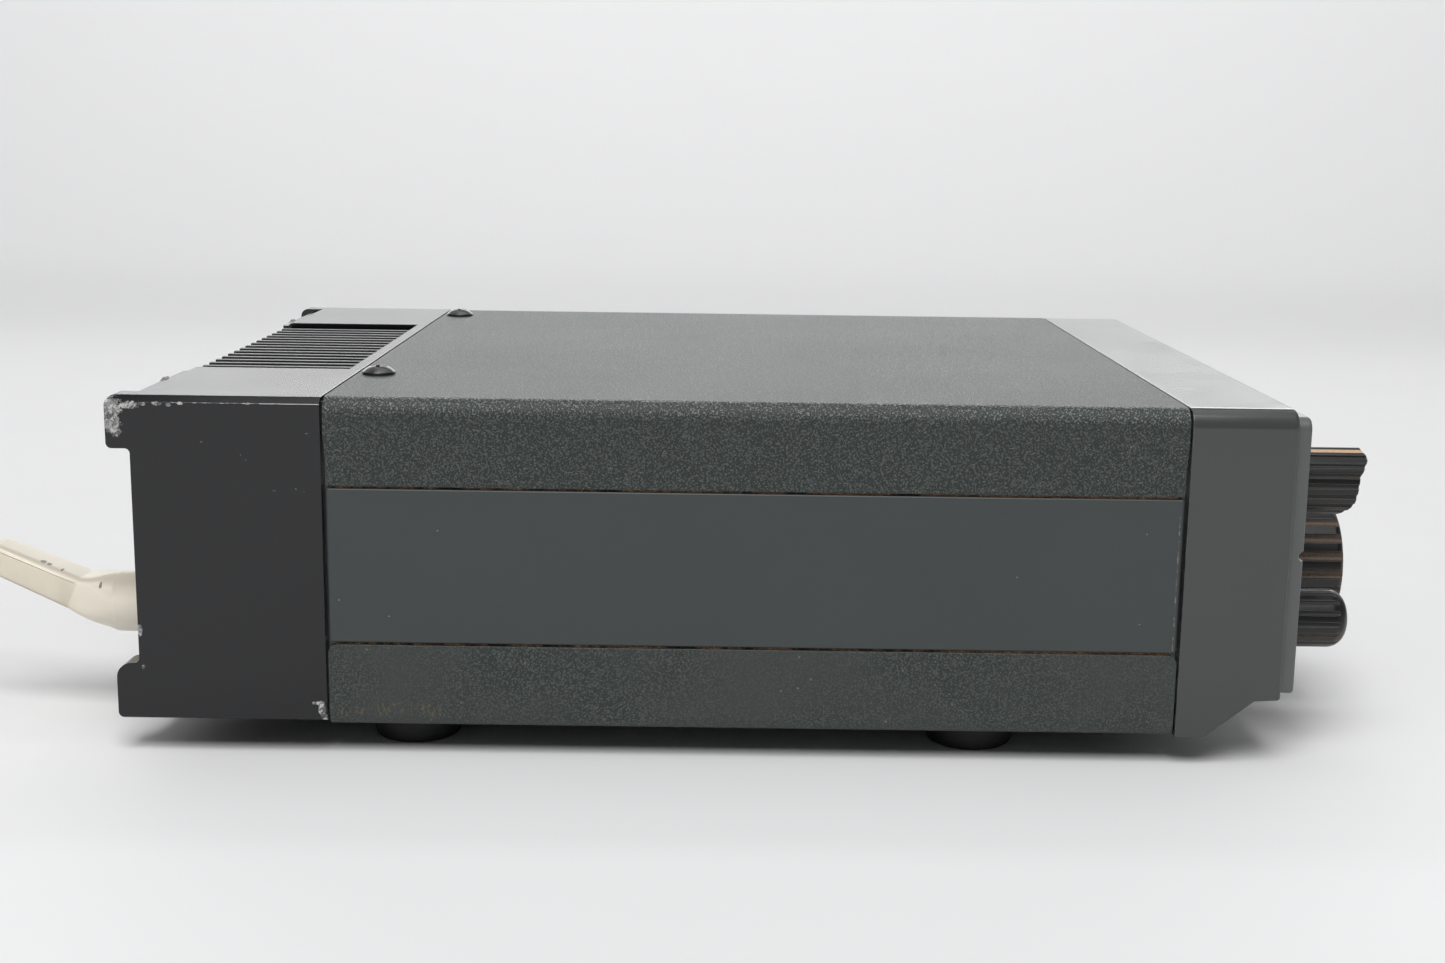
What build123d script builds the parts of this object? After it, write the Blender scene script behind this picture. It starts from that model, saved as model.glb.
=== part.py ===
"""Compact mobile two-way radio: case, finned rear, front controls, inner boards and supply lead.

Millimetres, +Z up, +X towards the front panel, origin on the floor under the middle of the set.
"""

import os
from math import atan2, cos, dist, pi, radians, sin, tan

from build123d import *

os.makedirs("parts", exist_ok=True)

# Case
case_width = 176.0
case_height = 66.0
cover_length = 169.0
foot_height = 6.0
seam = 0.5
sheet = 1.2
lower_bend = 2.4
upper_flange = 17.5
lower_flange = 17.0
upper_corner = 1.0
lower_corner = 1.8
flange_taper = 0.7
flange_straight = 7.5
rail_thickness = 3.4
rail_edge = 0.4
rail_end_round = 1.1
tongue_width = 24.0
tongue_reach = 4.0
tongue_inset = 30.0

# What stands behind and in front of the covers
sink_depth = 37.0
ear_reach = 4.6
bezel_depth = 20.7
lip_depth = 3.05
tuning_reach = 19.7
antenna_reach = 16.25

# Clearances
fit_gap = 0.25
running_gap = 0.05

# Chassis
frame_wall = 2.0
rear_wall = 2.5
shelf_height = 31.0
shelf_setback = 6.0
cover_ledge = 11.0
ledge_thickness = 2.5
nose_low = 6.5
nose_high = 3.5
nose_block = 7.0
sub_panel_setback = 6.0
sub_panel_thickness = 1.5

# Heat sink
sink_clear = 1.2
side_plate = 6.0
upper_ear = 10.4
lower_ear = 11.2
ear_round = 2.0
ear_heel_round = 3.0
ear_corner = 1.1
notch_round = 1.0
sink_edge = 1.3
sink_base = 2.6
pad_width = 43.0
pad_thickness = 7.0
pad_round = 1.8
box_floor = 6.0
box_wall = 3.0
fin_count = 16
fin_thickness = 1.8
fin_drop = 1.0
rear_plate = 1.2
rear_plate_margin = 0.8
sink_screw_inset = 15.0
sink_screw_margin = 14.0
sink_boss = 4.0
sink_boss_length = 6.0

# Front bezel and panel
bezel_wall = 3.0
bezel_round = 3.6
bezel_front_round = 0.8
chin_start = 5.7
chin_end = 15.4
chin_rise = 7.6
chin_front_rise = 7.9
bezel_boss = 3.0
bezel_boss_length = 6.0
bezel_boss_inset = 10.0
bezel_boss_drop = 6.3
bezel_boss_rise = 11.0
lip_side_inset = 2.0
lip_top_inset = 1.7
lip_bottom_inset = 0.7
lip_corner = 2.5
lip_low_corner = 1.0
lip_edge = 0.6
field_depth = 1.2
field_thickness = 2.6
rim_width = 2.4
spigot_depth = 6.0
spigot_wall = 2.0
groove_height = 36.8
groove_radius = 1.0

# Controls, placed from the sides of the case and from its underside
small_knob_inset = 15.0
mode_height = 49.6
volume_height = 21.1
tuning_inset = 48.7
tuning_height = 25.4
squelch_inset = 22.0
squelch_height = 49.6
mode_radius = 6.8
mode_nose = 14.2
mode_tip_rise = 5.4
mode_shoulder = 12.2
mode_shoulder_rise = 1.8
mode_waist = 11.7
mode_waist_drop = 3.4
mode_curve = 10.1
mode_curve_drop = 5.7
mode_heel = 8.0
pointer_width = 3.4
pointer_turn = 17.0  # how far the pointer stands from straight up
small_knob_radius = 6.0
small_knob_reach = 13.05
small_knob_edge = 3.6
tuning_radius = 13.8
tuning_edge = 1.6
dish_radius = 9.5
dish_depth = 0.8
flute_radius = 0.55
mode_flutes = 20
small_flutes = 16
tuning_flute_radius = 1.15
tuning_flutes = 22
knob_lift = 0.6
knob_cap = 3.0
shaft_radius = 2.0
tuning_shaft_radius = 3.0
shaft_tail = 5.0
shaft_hole_gap = 0.5
bushing_wall = 1.5
bushing_length = 8.0
control_body = 14.0
control_depth = 8.0
encoder_radius = 12.0
encoder_depth = 12.0
nut_wall = 2.6
nut_thickness = 2.0

# Display and push buttons
window_width = 82.0
window_height = 12.0
window_inset = 30.0
window_level = 52.0
window_thickness = 1.6
window_ledge = 2.0
board_thickness = 1.6
display_lift = 2.3
display_board_inset = 25.0
display_board_gap = 13.0
display_board_low = 14.0
display_board_height = 46.0
display_board_hole = 5.0
encoder_clear = 9.8
digit_count = 6
digit_width = 8.0
digit_pitch = 9.6
digit_height = 10.5
digit_depth = 6.0
bar_width = 16.0
button_space = 4.0
button_height = 5.6
button_proud = 2.2
button_edge = 0.6
button_travel = 1.8
button_level = 31.0
button_row_margin = 11.8
button_flange = 0.9
flange_thickness = 1.0
stem_radius = 1.5
stem_grip = 1.2
switch_body = 7.0
switch_depth = 4.4

# Microphone socket
mic_inset = 22.0
mic_height = 23.0
mic_radius = 7.9
mic_bore = 6.6
mic_reach = 7.0
mic_depth = 10.0
mic_collar = 2.0
mic_collar_thickness = 2.4
mic_insert_depth = 4.0
mic_pin_radius = 0.75
mic_pin_circle = 4.2
mic_pin_length = 8.0
mic_pin_count = 8

# Feet and screws
foot_radius = 10.0
foot_toe_radius = 8.5
foot_edge = 0.8
foot_inset = 16.0
rear_foot = 15.5
front_foot = 39.0
foot_bore = 3.2
foot_floor = 2.4
thread_radius = 1.5
thread_collar = 1.5
collar_height = 2.5
domed_head = 3.5
domed_height = 1.8
domed_shank = 5.0
pan_head = 2.75
pan_height = 1.6
pan_shank = 5.0
cover_screw_from_seam = 5.0
cover_screw_inset = 36.0
far_screw_inset = 18.0
small_thread = 1.0
small_head = 1.9
small_head_height = 1.2
small_shank = 4.0
rail_screw_margin = 25.0
rail_screw_rise = 7.0

# Rear sockets
rear_screw_inset = 30.0
rear_screw_drop = 3.8
rear_screw_rise = 3.2
inlet_inset = 31.0
inlet_height = 17.0
inlet_flange = 9.0
inlet_flange_thickness = 2.0
inlet_radius = 7.0
inlet_bore = 4.4
inlet_depth = 16.0
antenna_inset = 21.0
antenna_height = 43.0
antenna_flange = 25.4
antenna_flange_thickness = 1.6
antenna_thread = 7.9
antenna_bore = 6.0
antenna_hole_pitch = 18.2
antenna_neck = 6.0
antenna_tail = 12.0
antenna_bore_floor = 4.0
contact_radius = 2.9
contact_bore = 1.95
contact_recess = 1.0
contact_bore_depth = 10.0
jack_height = 15.0
jack_radius = 4.0
jack_bore = 1.8
jack_nut = 6.0
jack_nut_thickness = 2.2
jack_nose = 1.2
jack_depth = 14.0

# Inner boards and speaker
standoff_height = 6.0
standoff_radius = 2.6
board_hole_inset = 6.0
main_board_start = 30.0
main_board_end_gap = 5.0
main_board_side_gap = 7.6
rf_board_start = 16.0
rf_board_length = 46.0
rf_board_side_gap = 11.6
main_can_length = 44.0
main_can_width = 36.0
main_can_height = 13.0
main_can_pitch = 46.0
rf_can_length = 26.0
rf_can_width = 40.0
rf_can_height = 10.0
rf_can_pitch = 60.0
can_wall = 0.8
module_width = 60.0
module_height = 20.0
module_depth = 9.0
module_ear = 8.0
module_ear_depth = 3.0
module_rise = 3.0
speaker_place = 104.0
speaker_radius = 33.0
speaker_ring = 4.0
speaker_flange = 1.2
speaker_height = 19.0
basket_radius = 17.0
basket_wall = 1.0
cone_wall = 0.6
cone_rim = 4.0
cone_depth = 11.0
cone_throat = 9.0
magnet_radius = 16.0
magnet_height = 7.0
slot_length = 44.0
slot_width = 2.4
slot_pitch = 5.5
slot_count = 9

# Supply plug and lead
plug_radius = 6.3
plug_barrel = 10.0
plug_nose = 8.0
hood_tilt = 23.2
hood_drop = 0.95
neck_length = 9.4
hood_length = 27.3
hood_mid_width = 10.2
hood_mid_height = 8.9
hood_end_width = 8.6
hood_end_height = 7.9
hood_edge = 1.2
hood_ridge = 2.6
hood_recess = 0.5
lead_diameter = 4.8
lead_straight = 22.0
lead_run_in = 14.0
tail_length = 28.0
coil_pitch = 5.4
coil_radius = 36.5
coil_layer_turns = 3
coil_climb_turns = 0.5
tie_thickness = 0.45
tie_width = 6.0
tie_gap = 0.15
tie_slack = 0.6
connector_length = 32.0
connector_width = 13.0
connector_lift = 0.2
connector_edge = 1.5
connector_port = 3.5
connector_port_depth = 8.0

# Levels and planes that the pieces share
half_width = case_width / 2
z_base = foot_height
z_top = foot_height + case_height
overall = antenna_reach + sink_depth + cover_length + bezel_depth + lip_depth + tuning_reach
x_back = antenna_reach - overall / 2
x_rear = x_back + sink_depth
x_front = x_rear + cover_length
x_bezel = x_front + bezel_depth
x_lip = x_bezel + lip_depth
x_field = x_lip - field_depth
x_field_back = x_field - field_thickness
x_sub = x_front + sub_panel_setback
x_sub_front = x_sub + sub_panel_thickness
x_pcb = x_sub_front + display_lift
x_pcb_front = x_pcb + board_thickness
x_knob = x_field + knob_lift
x_plate = x_back - rear_plate
cover_rear = x_rear + seam
cover_front = x_front - seam
y_frame = half_width - rail_thickness
y_frame_in = y_frame - frame_wall
z_shelf = z_base + shelf_height
z_shelf_top = z_shelf + frame_wall
z_in_low = z_base + sheet
z_in_high = z_top - sheet
z_nose_low = z_base + nose_low
z_nose_high = z_top - nose_high
z_sink = z_base + sink_clear
cover_bend = rail_thickness

AT_BASE = (Align.CENTER, Align.CENTER, Align.MIN)
AT_TOP = (Align.CENTER, Align.CENTER, Align.MAX)
FORWARD = (1, 0, 0)
REARWARD = (-1, 0, 0)


def block(x_from, x_to, y_from, y_to, z_from, z_to, mode=Mode.ADD):
    """Add or cut a box given by its six faces."""
    with Locations(((x_from + x_to) / 2, (y_from + y_to) / 2, (z_from + z_to) / 2)):
        Box(abs(x_to - x_from), abs(y_to - y_from), abs(z_to - z_from), mode=mode)


def facing_front(x, y, z):
    """A plane at a point, facing the front, with its own x along +Y."""
    return Plane(origin=(x, y, z), x_dir=(0, 1, 0), z_dir=FORWARD)


def rod(x_from, x_to, y, z, radius, mode=Mode.ADD):
    """Add or cut a round bar lying along X."""
    with Locations(facing_front(x_from, y, z)):
        Cylinder(radius, x_to - x_from, align=AT_BASE, mode=mode)


def domed_screw():
    """A domed cross-recess screw standing on its seat at the origin."""
    brim = domed_height * 0.3
    recess = domed_head * 0.25
    with BuildPart() as screw:
        with BuildSketch(Plane.XZ):
            with BuildLine():
                Polyline((0, domed_height), (0, 0), (domed_head, 0), (domed_head, brim))
                ThreePointArc(
                    (domed_head, brim),
                    (domed_head * 0.62, domed_height * 0.82),
                    (0, domed_height),
                )
            make_face()
        revolve(axis=Axis.Z)
        Cylinder(thread_radius, domed_shank, align=AT_TOP)
        with Locations((0, 0, domed_height)):
            Box(domed_head, recess, domed_height, mode=Mode.SUBTRACT)
            Box(recess, domed_head, domed_height, mode=Mode.SUBTRACT)
    return screw.part


def pan_screw(head, height, thread, shank):
    """A slotted pan-head screw standing on its seat at the origin."""
    with BuildPart() as screw:
        Cylinder(head, height, align=AT_BASE)
        fillet(screw.edges().group_by(Axis.Z)[-1], height * 0.45)
        Cylinder(thread, shank, align=AT_TOP)
        with Locations((0, 0, height)):
            Box(head * 3, head * 0.28, height * 0.9, mode=Mode.SUBTRACT)
    return screw.part


def knob_outline(y, z, radius, flute, count):
    """A fluted circle at a knob's base, centred on its shaft."""
    with BuildSketch(facing_front(x_knob, y, z)) as outline:
        Circle(radius)
        with PolarLocations(radius + flute * 0.35, count):
            Circle(flute, mode=Mode.SUBTRACT)
    return outline.sketch


def knob_turning(y, z, radius, front, edge):
    """Half of a knob's turned outline, with its front edge rounded."""
    with BuildSketch(Plane.XZ.offset(-y)) as outline:
        with Locations((x_knob, z)):
            Rectangle(front - x_knob, radius, align=(Align.MIN, Align.MIN))
        fillet(outline.vertices().group_by(Axis.X)[-1].sort_by(Axis.Y)[-1], edge)
    return outline.sketch


# Screws and where they sit
cover_screw_y = half_width - cover_screw_inset
top_screw_places = [
    (x_rear + cover_screw_from_seam, y) for y in (-cover_screw_y, half_width - far_screw_inset)
]
bottom_screw_places = [
    (x, y)
    for x in (x_rear + cover_screw_from_seam, x_front - cover_screw_from_seam)
    for y in (-cover_screw_y, cover_screw_y)
]
foot_y = half_width - foot_inset
foot_places = [(x, y) for x in (x_rear + rear_foot, x_front - front_foot) for y in (-foot_y, foot_y)]
sink_screw_y = half_width - sink_screw_inset
sink_screw_places = [
    (y, z)
    for y in (-sink_screw_y, sink_screw_y)
    for z in (z_base + sink_screw_margin, z_top - sink_screw_margin)
]
nose_screw_y = y_frame_in - nose_block / 2
nose_screw_z = z_shelf + (nose_block + frame_wall) / 2
bezel_boss_y = half_width - bezel_boss_inset
bezel_boss_places = [
    (y, z)
    for y in (-bezel_boss_y, bezel_boss_y)
    for z in (z_base + bezel_boss_rise, z_top - bezel_boss_drop)
]
rail_screw_x = (x_rear + rail_screw_margin, x_front - rail_screw_margin)
rail_screw_z = z_shelf_top + rail_screw_rise
module_low = z_shelf_top + module_rise
module_mid = module_low + module_height / 2
module_screw_y = module_width / 2 - module_ear / 2
x_ear = x_rear + module_ear_depth
rear_screw_y = half_width - rear_screw_inset
rear_screw_levels = (z_sink + rear_screw_rise, z_top - rear_screw_drop)

# Top cover: a bent channel with two tongues that tuck under the bezel
tongue_y = half_width - tongue_inset
z_tongue = z_top - bezel_wall - fit_gap

with BuildPart() as top_cover:
    with BuildSketch(Plane.YZ.offset(cover_rear)) as section:
        with Locations((0, z_top)):
            Rectangle(case_width, upper_flange - seam / 2, align=(Align.CENTER, Align.MAX))
        fillet(section.vertices().group_by(Axis.Y)[-1], cover_bend)
        with BuildSketch(mode=Mode.PRIVATE) as hollow:
            with Locations((0, z_in_high)):
                Rectangle(case_width - 2 * sheet, upper_flange, align=(Align.CENTER, Align.MAX))
            fillet(hollow.vertices().group_by(Axis.Y)[-1], cover_bend - sheet)
        add(hollow.sketch, mode=Mode.SUBTRACT)
    extrude(amount=cover_front - cover_rear)
    for x, inward in ((cover_rear, flange_taper), (cover_front, -flange_taper)):
        with BuildSketch(Plane.XZ):
            with BuildLine():
                low = z_top - upper_flange
                Polyline((x, z_top - flange_straight), (x, low), (x + inward, low), close=True)
            make_face()
        extrude(amount=half_width, both=True, mode=Mode.SUBTRACT)
    fillet(top_cover.edges().filter_by(Axis.Y).group_by(Axis.Z)[0], upper_corner)
    with Locations(*[(x, y, z_top) for x, y in top_screw_places]):
        Hole(thread_radius + fit_gap, depth=sheet)
    for y in (-tongue_y, tongue_y):
        y_from = y - tongue_width / 2
        y_to = y + tongue_width / 2
        bend_x = cover_front - sheet
        block(bend_x - sheet, bend_x, y_from, y_to, z_tongue - sheet, z_in_high)
        block(bend_x, x_front + tongue_reach, y_from, y_to, z_tongue - sheet, z_tongue)
top_cover.part.label = "top_cover"
export_step(top_cover.part, "parts/top_cover.step")

# Bottom cover: the same channel upside down, with speaker slots and threaded collars for the feet
speaker_x = x_rear + speaker_place

with BuildPart() as bottom_cover:
    with BuildSketch(Plane.YZ.offset(cover_rear)) as section:
        with Locations((0, z_base)):
            Rectangle(case_width, lower_flange - seam / 2, align=(Align.CENTER, Align.MIN))
        fillet(section.vertices().group_by(Axis.Y)[0], lower_bend)
        with Locations((0, z_in_low)):
            Rectangle(
                case_width - 2 * sheet,
                lower_flange,
                align=(Align.CENTER, Align.MIN),
                mode=Mode.SUBTRACT,
            )
    extrude(amount=cover_front - cover_rear)
    fillet(bottom_cover.edges().filter_by(Axis.Y).group_by(Axis.Z)[-1], lower_corner)
    with Locations(*[(x, y, z_in_low) for x, y in foot_places]):
        Cylinder(thread_radius + thread_collar, collar_height, align=AT_BASE)
    with Locations(*[(x, y, z_in_low + collar_height) for x, y in foot_places]):
        Hole(thread_radius + running_gap, depth=sheet + collar_height)
    with Locations(*[(x, y, z_in_low) for x, y in bottom_screw_places]):
        Hole(thread_radius + fit_gap, depth=sheet)
    with BuildSketch(Plane.XY.offset(z_base)):
        with Locations((speaker_x, 0)):
            with GridLocations(slot_pitch, slot_pitch, slot_count, 1):
                SlotOverall(slot_length, slot_width, rotation=90)
    extrude(amount=sheet, mode=Mode.SUBTRACT)
bottom_cover.part.label = "bottom_cover"
export_step(bottom_cover.part, "parts/bottom_cover.step")

# Side rails: smooth bars between the two covers
rail_low = z_base + lower_flange + seam / 2
rail_high = z_top - upper_flange - seam / 2
for name, side in (("left_side_rail", -1), ("right_side_rail", 1)):
    with BuildPart() as side_rail:
        block(cover_rear, cover_front, side * y_frame, side * half_width, rail_low, rail_high)
        outer = side_rail.faces().sort_by(Axis.Y)[0 if side < 0 else -1]
        fillet(outer.edges().filter_by(Axis.Z), rail_end_round)
        outer = side_rail.faces().sort_by(Axis.Y)[0 if side < 0 else -1]
        fillet(outer.edges().filter_by(Axis.X), rail_edge)
        for x in rail_screw_x:
            with Locations(Plane(origin=(x, side * y_frame, rail_screw_z), z_dir=(0, -side, 0))):
                Hole(thread_radius + running_gap, depth=pan_shank - frame_wall + running_gap)
    side_rail.part.label = name
    export_step(side_rail.part, f"parts/{name}.step")

# Chassis frame: a casting with two walls, a middle shelf, a rear wall and screw ledges
x_shelf_end = x_sub - encoder_depth - shelf_setback
z_block_high = z_shelf_top + nose_block

with BuildPart() as chassis_frame:
    for side in (-1, 1):
        y_out = side * y_frame
        y_in = side * y_frame_in
        block(x_rear, cover_front, y_in, y_out, z_in_low, z_in_high)
        block(cover_front, x_sub, y_in, y_out, z_nose_low, z_nose_high)
        y_block = side * (y_frame_in - nose_block)
        block(x_shelf_end - nose_block, x_sub, y_in, y_block, z_shelf, z_block_high)
    block(x_rear, x_shelf_end, -y_frame_in, y_frame_in, z_shelf, z_shelf_top)
    block(x_rear, x_rear + rear_wall, -y_frame_in, y_frame_in, z_in_low, z_in_high)
    block(x_rear, x_rear + cover_ledge, -y_frame_in, y_frame_in, z_in_high - ledge_thickness, z_in_high)
    for x in (x_rear, cover_front - cover_ledge):
        block(x, x + cover_ledge, -y_frame_in, y_frame_in, z_in_low, z_in_low + ledge_thickness)
    block(
        x_rear,
        x_rear + rear_wall,
        -module_width / 2 - fit_gap,
        module_width / 2 + fit_gap,
        module_low - fit_gap,
        module_low + module_height + fit_gap,
        mode=Mode.SUBTRACT,
    )
    with Locations(*[(x, y, z_in_high) for x, y in top_screw_places]):
        Hole(thread_radius + running_gap, depth=ledge_thickness)
    with Locations(*[(x, y, z_in_low + ledge_thickness) for x, y in bottom_screw_places]):
        Hole(thread_radius + running_gap, depth=ledge_thickness)
    for y, z in sink_screw_places:
        rod(x_rear, x_rear + rear_wall, y, z, thread_radius + fit_gap, mode=Mode.SUBTRACT)
    for side in (-1, 1):
        y = side * nose_screw_y
        rod(x_sub - pan_shank, x_sub, y, nose_screw_z, thread_radius + running_gap, mode=Mode.SUBTRACT)
        for x in rail_screw_x:
            with Locations(Plane(origin=(x, side * y_frame_in, rail_screw_z), z_dir=(0, -side, 0))):
                Hole(thread_radius + fit_gap, depth=frame_wall)
chassis_frame.part.label = "chassis_frame"
export_step(chassis_frame.part, "parts/chassis_frame.step")

# Heat sink: a casting with two boxes for the sockets, fins between them and ears at its sides
fin_field = case_width - 2 * pad_width
fin_pitch = fin_field / (fin_count + 1)
y_box = half_width - pad_width

with BuildPart() as heat_sink:
    with BuildSketch(Plane.XZ.offset(half_width)) as side_outline:
        with BuildLine():
            Polyline(
                (x_rear, z_sink),
                (x_rear, z_top),
                (x_back - ear_reach, z_top),
                (x_back - ear_reach, z_top - upper_ear),
                (x_back, z_top - upper_ear),
                (x_back, z_sink + lower_ear),
                (x_back - ear_reach, z_sink + lower_ear),
                (x_back - ear_reach, z_sink),
                close=True,
            )
        make_face()
        for level, rounding in (
            (z_sink, ear_corner),
            (z_sink + lower_ear, ear_heel_round),
            (z_top - upper_ear, ear_corner),
            (z_top, ear_round),
        ):
            tips = side_outline.vertices().group_by(Axis.X)[0]
            fillet(tips.filter_by(lambda v: abs(v.Y - level) < fit_gap), rounding)
        fillet(side_outline.vertices().filter_by(lambda v: abs(v.X - x_back) < 0.01), notch_round)
    extrude(amount=-side_plate)
    with BuildSketch(Plane.YZ.offset(x_back - ear_reach)):
        with BuildLine():
            Polyline(
                (-half_width, z_top),
                (-half_width + sink_edge, z_top),
                (-half_width, z_top - sink_edge),
                close=True,
            )
        make_face()
    extrude(amount=sink_depth + ear_reach, mode=Mode.SUBTRACT)
    block(x_back, x_rear, -half_width + side_plate, -y_box, z_top - pad_thickness, z_top)
    pad_edges = heat_sink.edges().filter_by(Axis.Y).group_by(Axis.Z)[-1]
    fillet(pad_edges.filter_by(lambda e: abs(e.center().X - x_back) < fit_gap), pad_round)
    block(x_back, x_rear, -half_width + side_plate, -y_box, z_sink, z_sink + box_floor)
    block(x_back, x_rear, -y_box - box_wall, -y_box, z_sink + box_floor, z_top - pad_thickness)
    mirror(about=Plane.XZ)
    block(x_rear - sink_base, x_rear, -half_width + side_plate, half_width - side_plate, z_sink, z_top)
    for number in range(fin_count):
        y = -fin_field / 2 + fin_pitch * (number + 1)
        y_from = y - fin_thickness / 2
        y_to = y + fin_thickness / 2
        block(x_back, x_rear - sink_base, y_from, y_to, z_sink, z_top - fin_drop)
    for y, z in sink_screw_places:
        rod(x_rear - sink_boss_length, x_rear, y, z, sink_boss)
        rod(
            x_rear - pan_shank + rear_wall - running_gap,
            x_rear,
            y,
            z,
            thread_radius + running_gap,
            mode=Mode.SUBTRACT,
        )
    for y in (-rear_screw_y, rear_screw_y):
        for z in rear_screw_levels:
            rod(x_back, x_back + domed_shank, y, z, thread_radius + running_gap, mode=Mode.SUBTRACT)
    for y in (-module_screw_y, module_screw_y):
        rod(x_rear - sink_base, x_rear, y, module_mid, thread_radius + running_gap, mode=Mode.SUBTRACT)
heat_sink.part.label = "heat_sink"
export_step(heat_sink.part, "parts/heat_sink.step")

# Rear plates that carry the sockets
inlet_y = -half_width + inlet_inset
inlet_z = z_base + inlet_height
antenna_y = half_width - antenna_inset
antenna_z = z_base + antenna_height
jack_y = antenna_y
jack_z = z_base + jack_height
antenna_hole = antenna_hole_pitch / 2
antenna_screw_places = [
    (antenna_y + i * antenna_hole, antenna_z + j * antenna_hole) for i in (-1, 1) for j in (-1, 1)
]

for name, side in (("left_rear_plate", -1), ("right_rear_plate", 1)):
    with BuildPart() as plate:
        block(
            x_plate,
            x_back,
            side * (y_box + rear_plate_margin),
            side * (half_width - side_plate - rear_plate_margin),
            z_sink + rear_plate_margin,
            z_top - rear_plate_margin,
        )
        for z in rear_screw_levels:
            rod(x_plate, x_back, side * rear_screw_y, z, thread_radius + fit_gap, mode=Mode.SUBTRACT)
        if side < 0:
            rod(x_plate, x_back, inlet_y, inlet_z, inlet_radius + fit_gap, mode=Mode.SUBTRACT)
        else:
            rod(x_plate, x_back, antenna_y, antenna_z, antenna_neck + fit_gap, mode=Mode.SUBTRACT)
            rod(x_plate, x_back, jack_y, jack_z, jack_radius + fit_gap, mode=Mode.SUBTRACT)
            for y, z in antenna_screw_places:
                rod(x_plate, x_back, y, z, small_thread + running_gap, mode=Mode.SUBTRACT)
    plate.part.label = name
    export_step(plate.part, f"parts/{name}.step")

# Rear sockets
x_flange = x_plate - antenna_flange_thickness
x_thread = x_back - antenna_reach

with BuildPart() as antenna_socket:
    with BuildSketch(facing_front(x_flange, antenna_y, antenna_z)):
        RectangleRounded(antenna_flange, antenna_flange, sheet)
        with GridLocations(antenna_hole_pitch, antenna_hole_pitch, 2, 2):
            Circle(small_thread + running_gap, mode=Mode.SUBTRACT)
    extrude(amount=antenna_flange_thickness)
    rod(x_thread, x_flange, antenna_y, antenna_z, antenna_thread)
    rod(x_plate, x_plate + antenna_tail, antenna_y, antenna_z, antenna_neck)
    rod(x_thread, x_flange - fit_gap, antenna_y, antenna_z, antenna_bore, mode=Mode.SUBTRACT)
    rod(
        x_flange - fit_gap,
        x_plate + antenna_tail,
        antenna_y,
        antenna_z,
        contact_radius + fit_gap,
        mode=Mode.SUBTRACT,
    )
antenna_socket.part.label = "antenna_socket"
export_step(antenna_socket.part, "parts/antenna_socket.step")

x_insulator = x_flange - fit_gap - antenna_bore_floor
x_contact = x_thread + contact_recess

with BuildPart() as antenna_insulator:
    rod(x_insulator, x_flange - fit_gap, antenna_y, antenna_z, antenna_bore - running_gap)
    rod(x_flange - fit_gap, x_plate + antenna_tail, antenna_y, antenna_z, contact_radius + fit_gap / 2)
    rod(
        x_insulator,
        x_plate + antenna_tail,
        antenna_y,
        antenna_z,
        contact_bore + running_gap,
        mode=Mode.SUBTRACT,
    )
    rod(
        x_insulator,
        x_flange - fit_gap - sheet,
        antenna_y,
        antenna_z,
        contact_radius + running_gap,
        mode=Mode.SUBTRACT,
    )
antenna_insulator.part.label = "antenna_insulator"
export_step(antenna_insulator.part, "parts/antenna_insulator.step")

with BuildPart() as antenna_contact:
    rod(x_contact, x_flange - fit_gap - sheet, antenna_y, antenna_z, contact_radius)
    rod(x_flange - fit_gap - sheet, x_plate + antenna_tail, antenna_y, antenna_z, contact_bore)
    x_bore_end = x_contact + contact_bore_depth
    rod(x_contact, x_bore_end, antenna_y, antenna_z, contact_bore, mode=Mode.SUBTRACT)
antenna_contact.part.label = "antenna_contact"
export_step(antenna_contact.part, "parts/antenna_contact.step")

with BuildPart() as speaker_jack:
    rod(x_plate, x_plate + jack_depth, jack_y, jack_z, jack_radius)
    rod(x_plate - jack_nut_thickness - jack_nose, x_plate, jack_y, jack_z, jack_radius)
    with BuildSketch(facing_front(x_plate - jack_nut_thickness, jack_y, jack_z)):
        RegularPolygon(jack_nut, 6)
    extrude(amount=jack_nut_thickness)
    rod(
        x_plate - jack_nut_thickness - jack_nose,
        x_plate + jack_depth - sheet,
        jack_y,
        jack_z,
        jack_bore,
        mode=Mode.SUBTRACT,
    )
speaker_jack.part.label = "speaker_jack"
export_step(speaker_jack.part, "parts/speaker_jack.step")

x_inlet = x_plate - inlet_flange_thickness

with BuildPart() as dc_inlet:
    rod(x_inlet, x_plate, inlet_y, inlet_z, inlet_flange)
    fillet(dc_inlet.edges().group_by(Axis.X)[0], inlet_flange_thickness * 0.4)
    rod(x_plate, x_plate + inlet_depth, inlet_y, inlet_z, inlet_radius)
    rod(x_inlet, x_inlet + plug_nose + fit_gap, inlet_y, inlet_z, inlet_bore, mode=Mode.SUBTRACT)
dc_inlet.part.label = "dc_inlet"
export_step(dc_inlet.part, "parts/dc_inlet.step")

# Supply plug: a round barrel, a neck and a tapered grip that leans up
hood_way = Vector(-cos(radians(hood_tilt)), 0, sin(radians(hood_tilt)))
x_barrel = x_inlet - plug_barrel
barrel_end = Vector(x_barrel, inlet_y, inlet_z)
hood_root = barrel_end - Vector(0, 0, hood_drop)
hood_mid = hood_root + hood_way * neck_length
hood_end = hood_root + hood_way * hood_length
ridge_low = Vector(sin(radians(hood_tilt)), 0, cos(radians(hood_tilt)))


def hood_plane(centre):
    """A cross plane of the grip, with its own y pointing up the grip's back."""
    return Plane(origin=centre, x_dir=(0, -1, 0), z_dir=hood_way)


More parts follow.
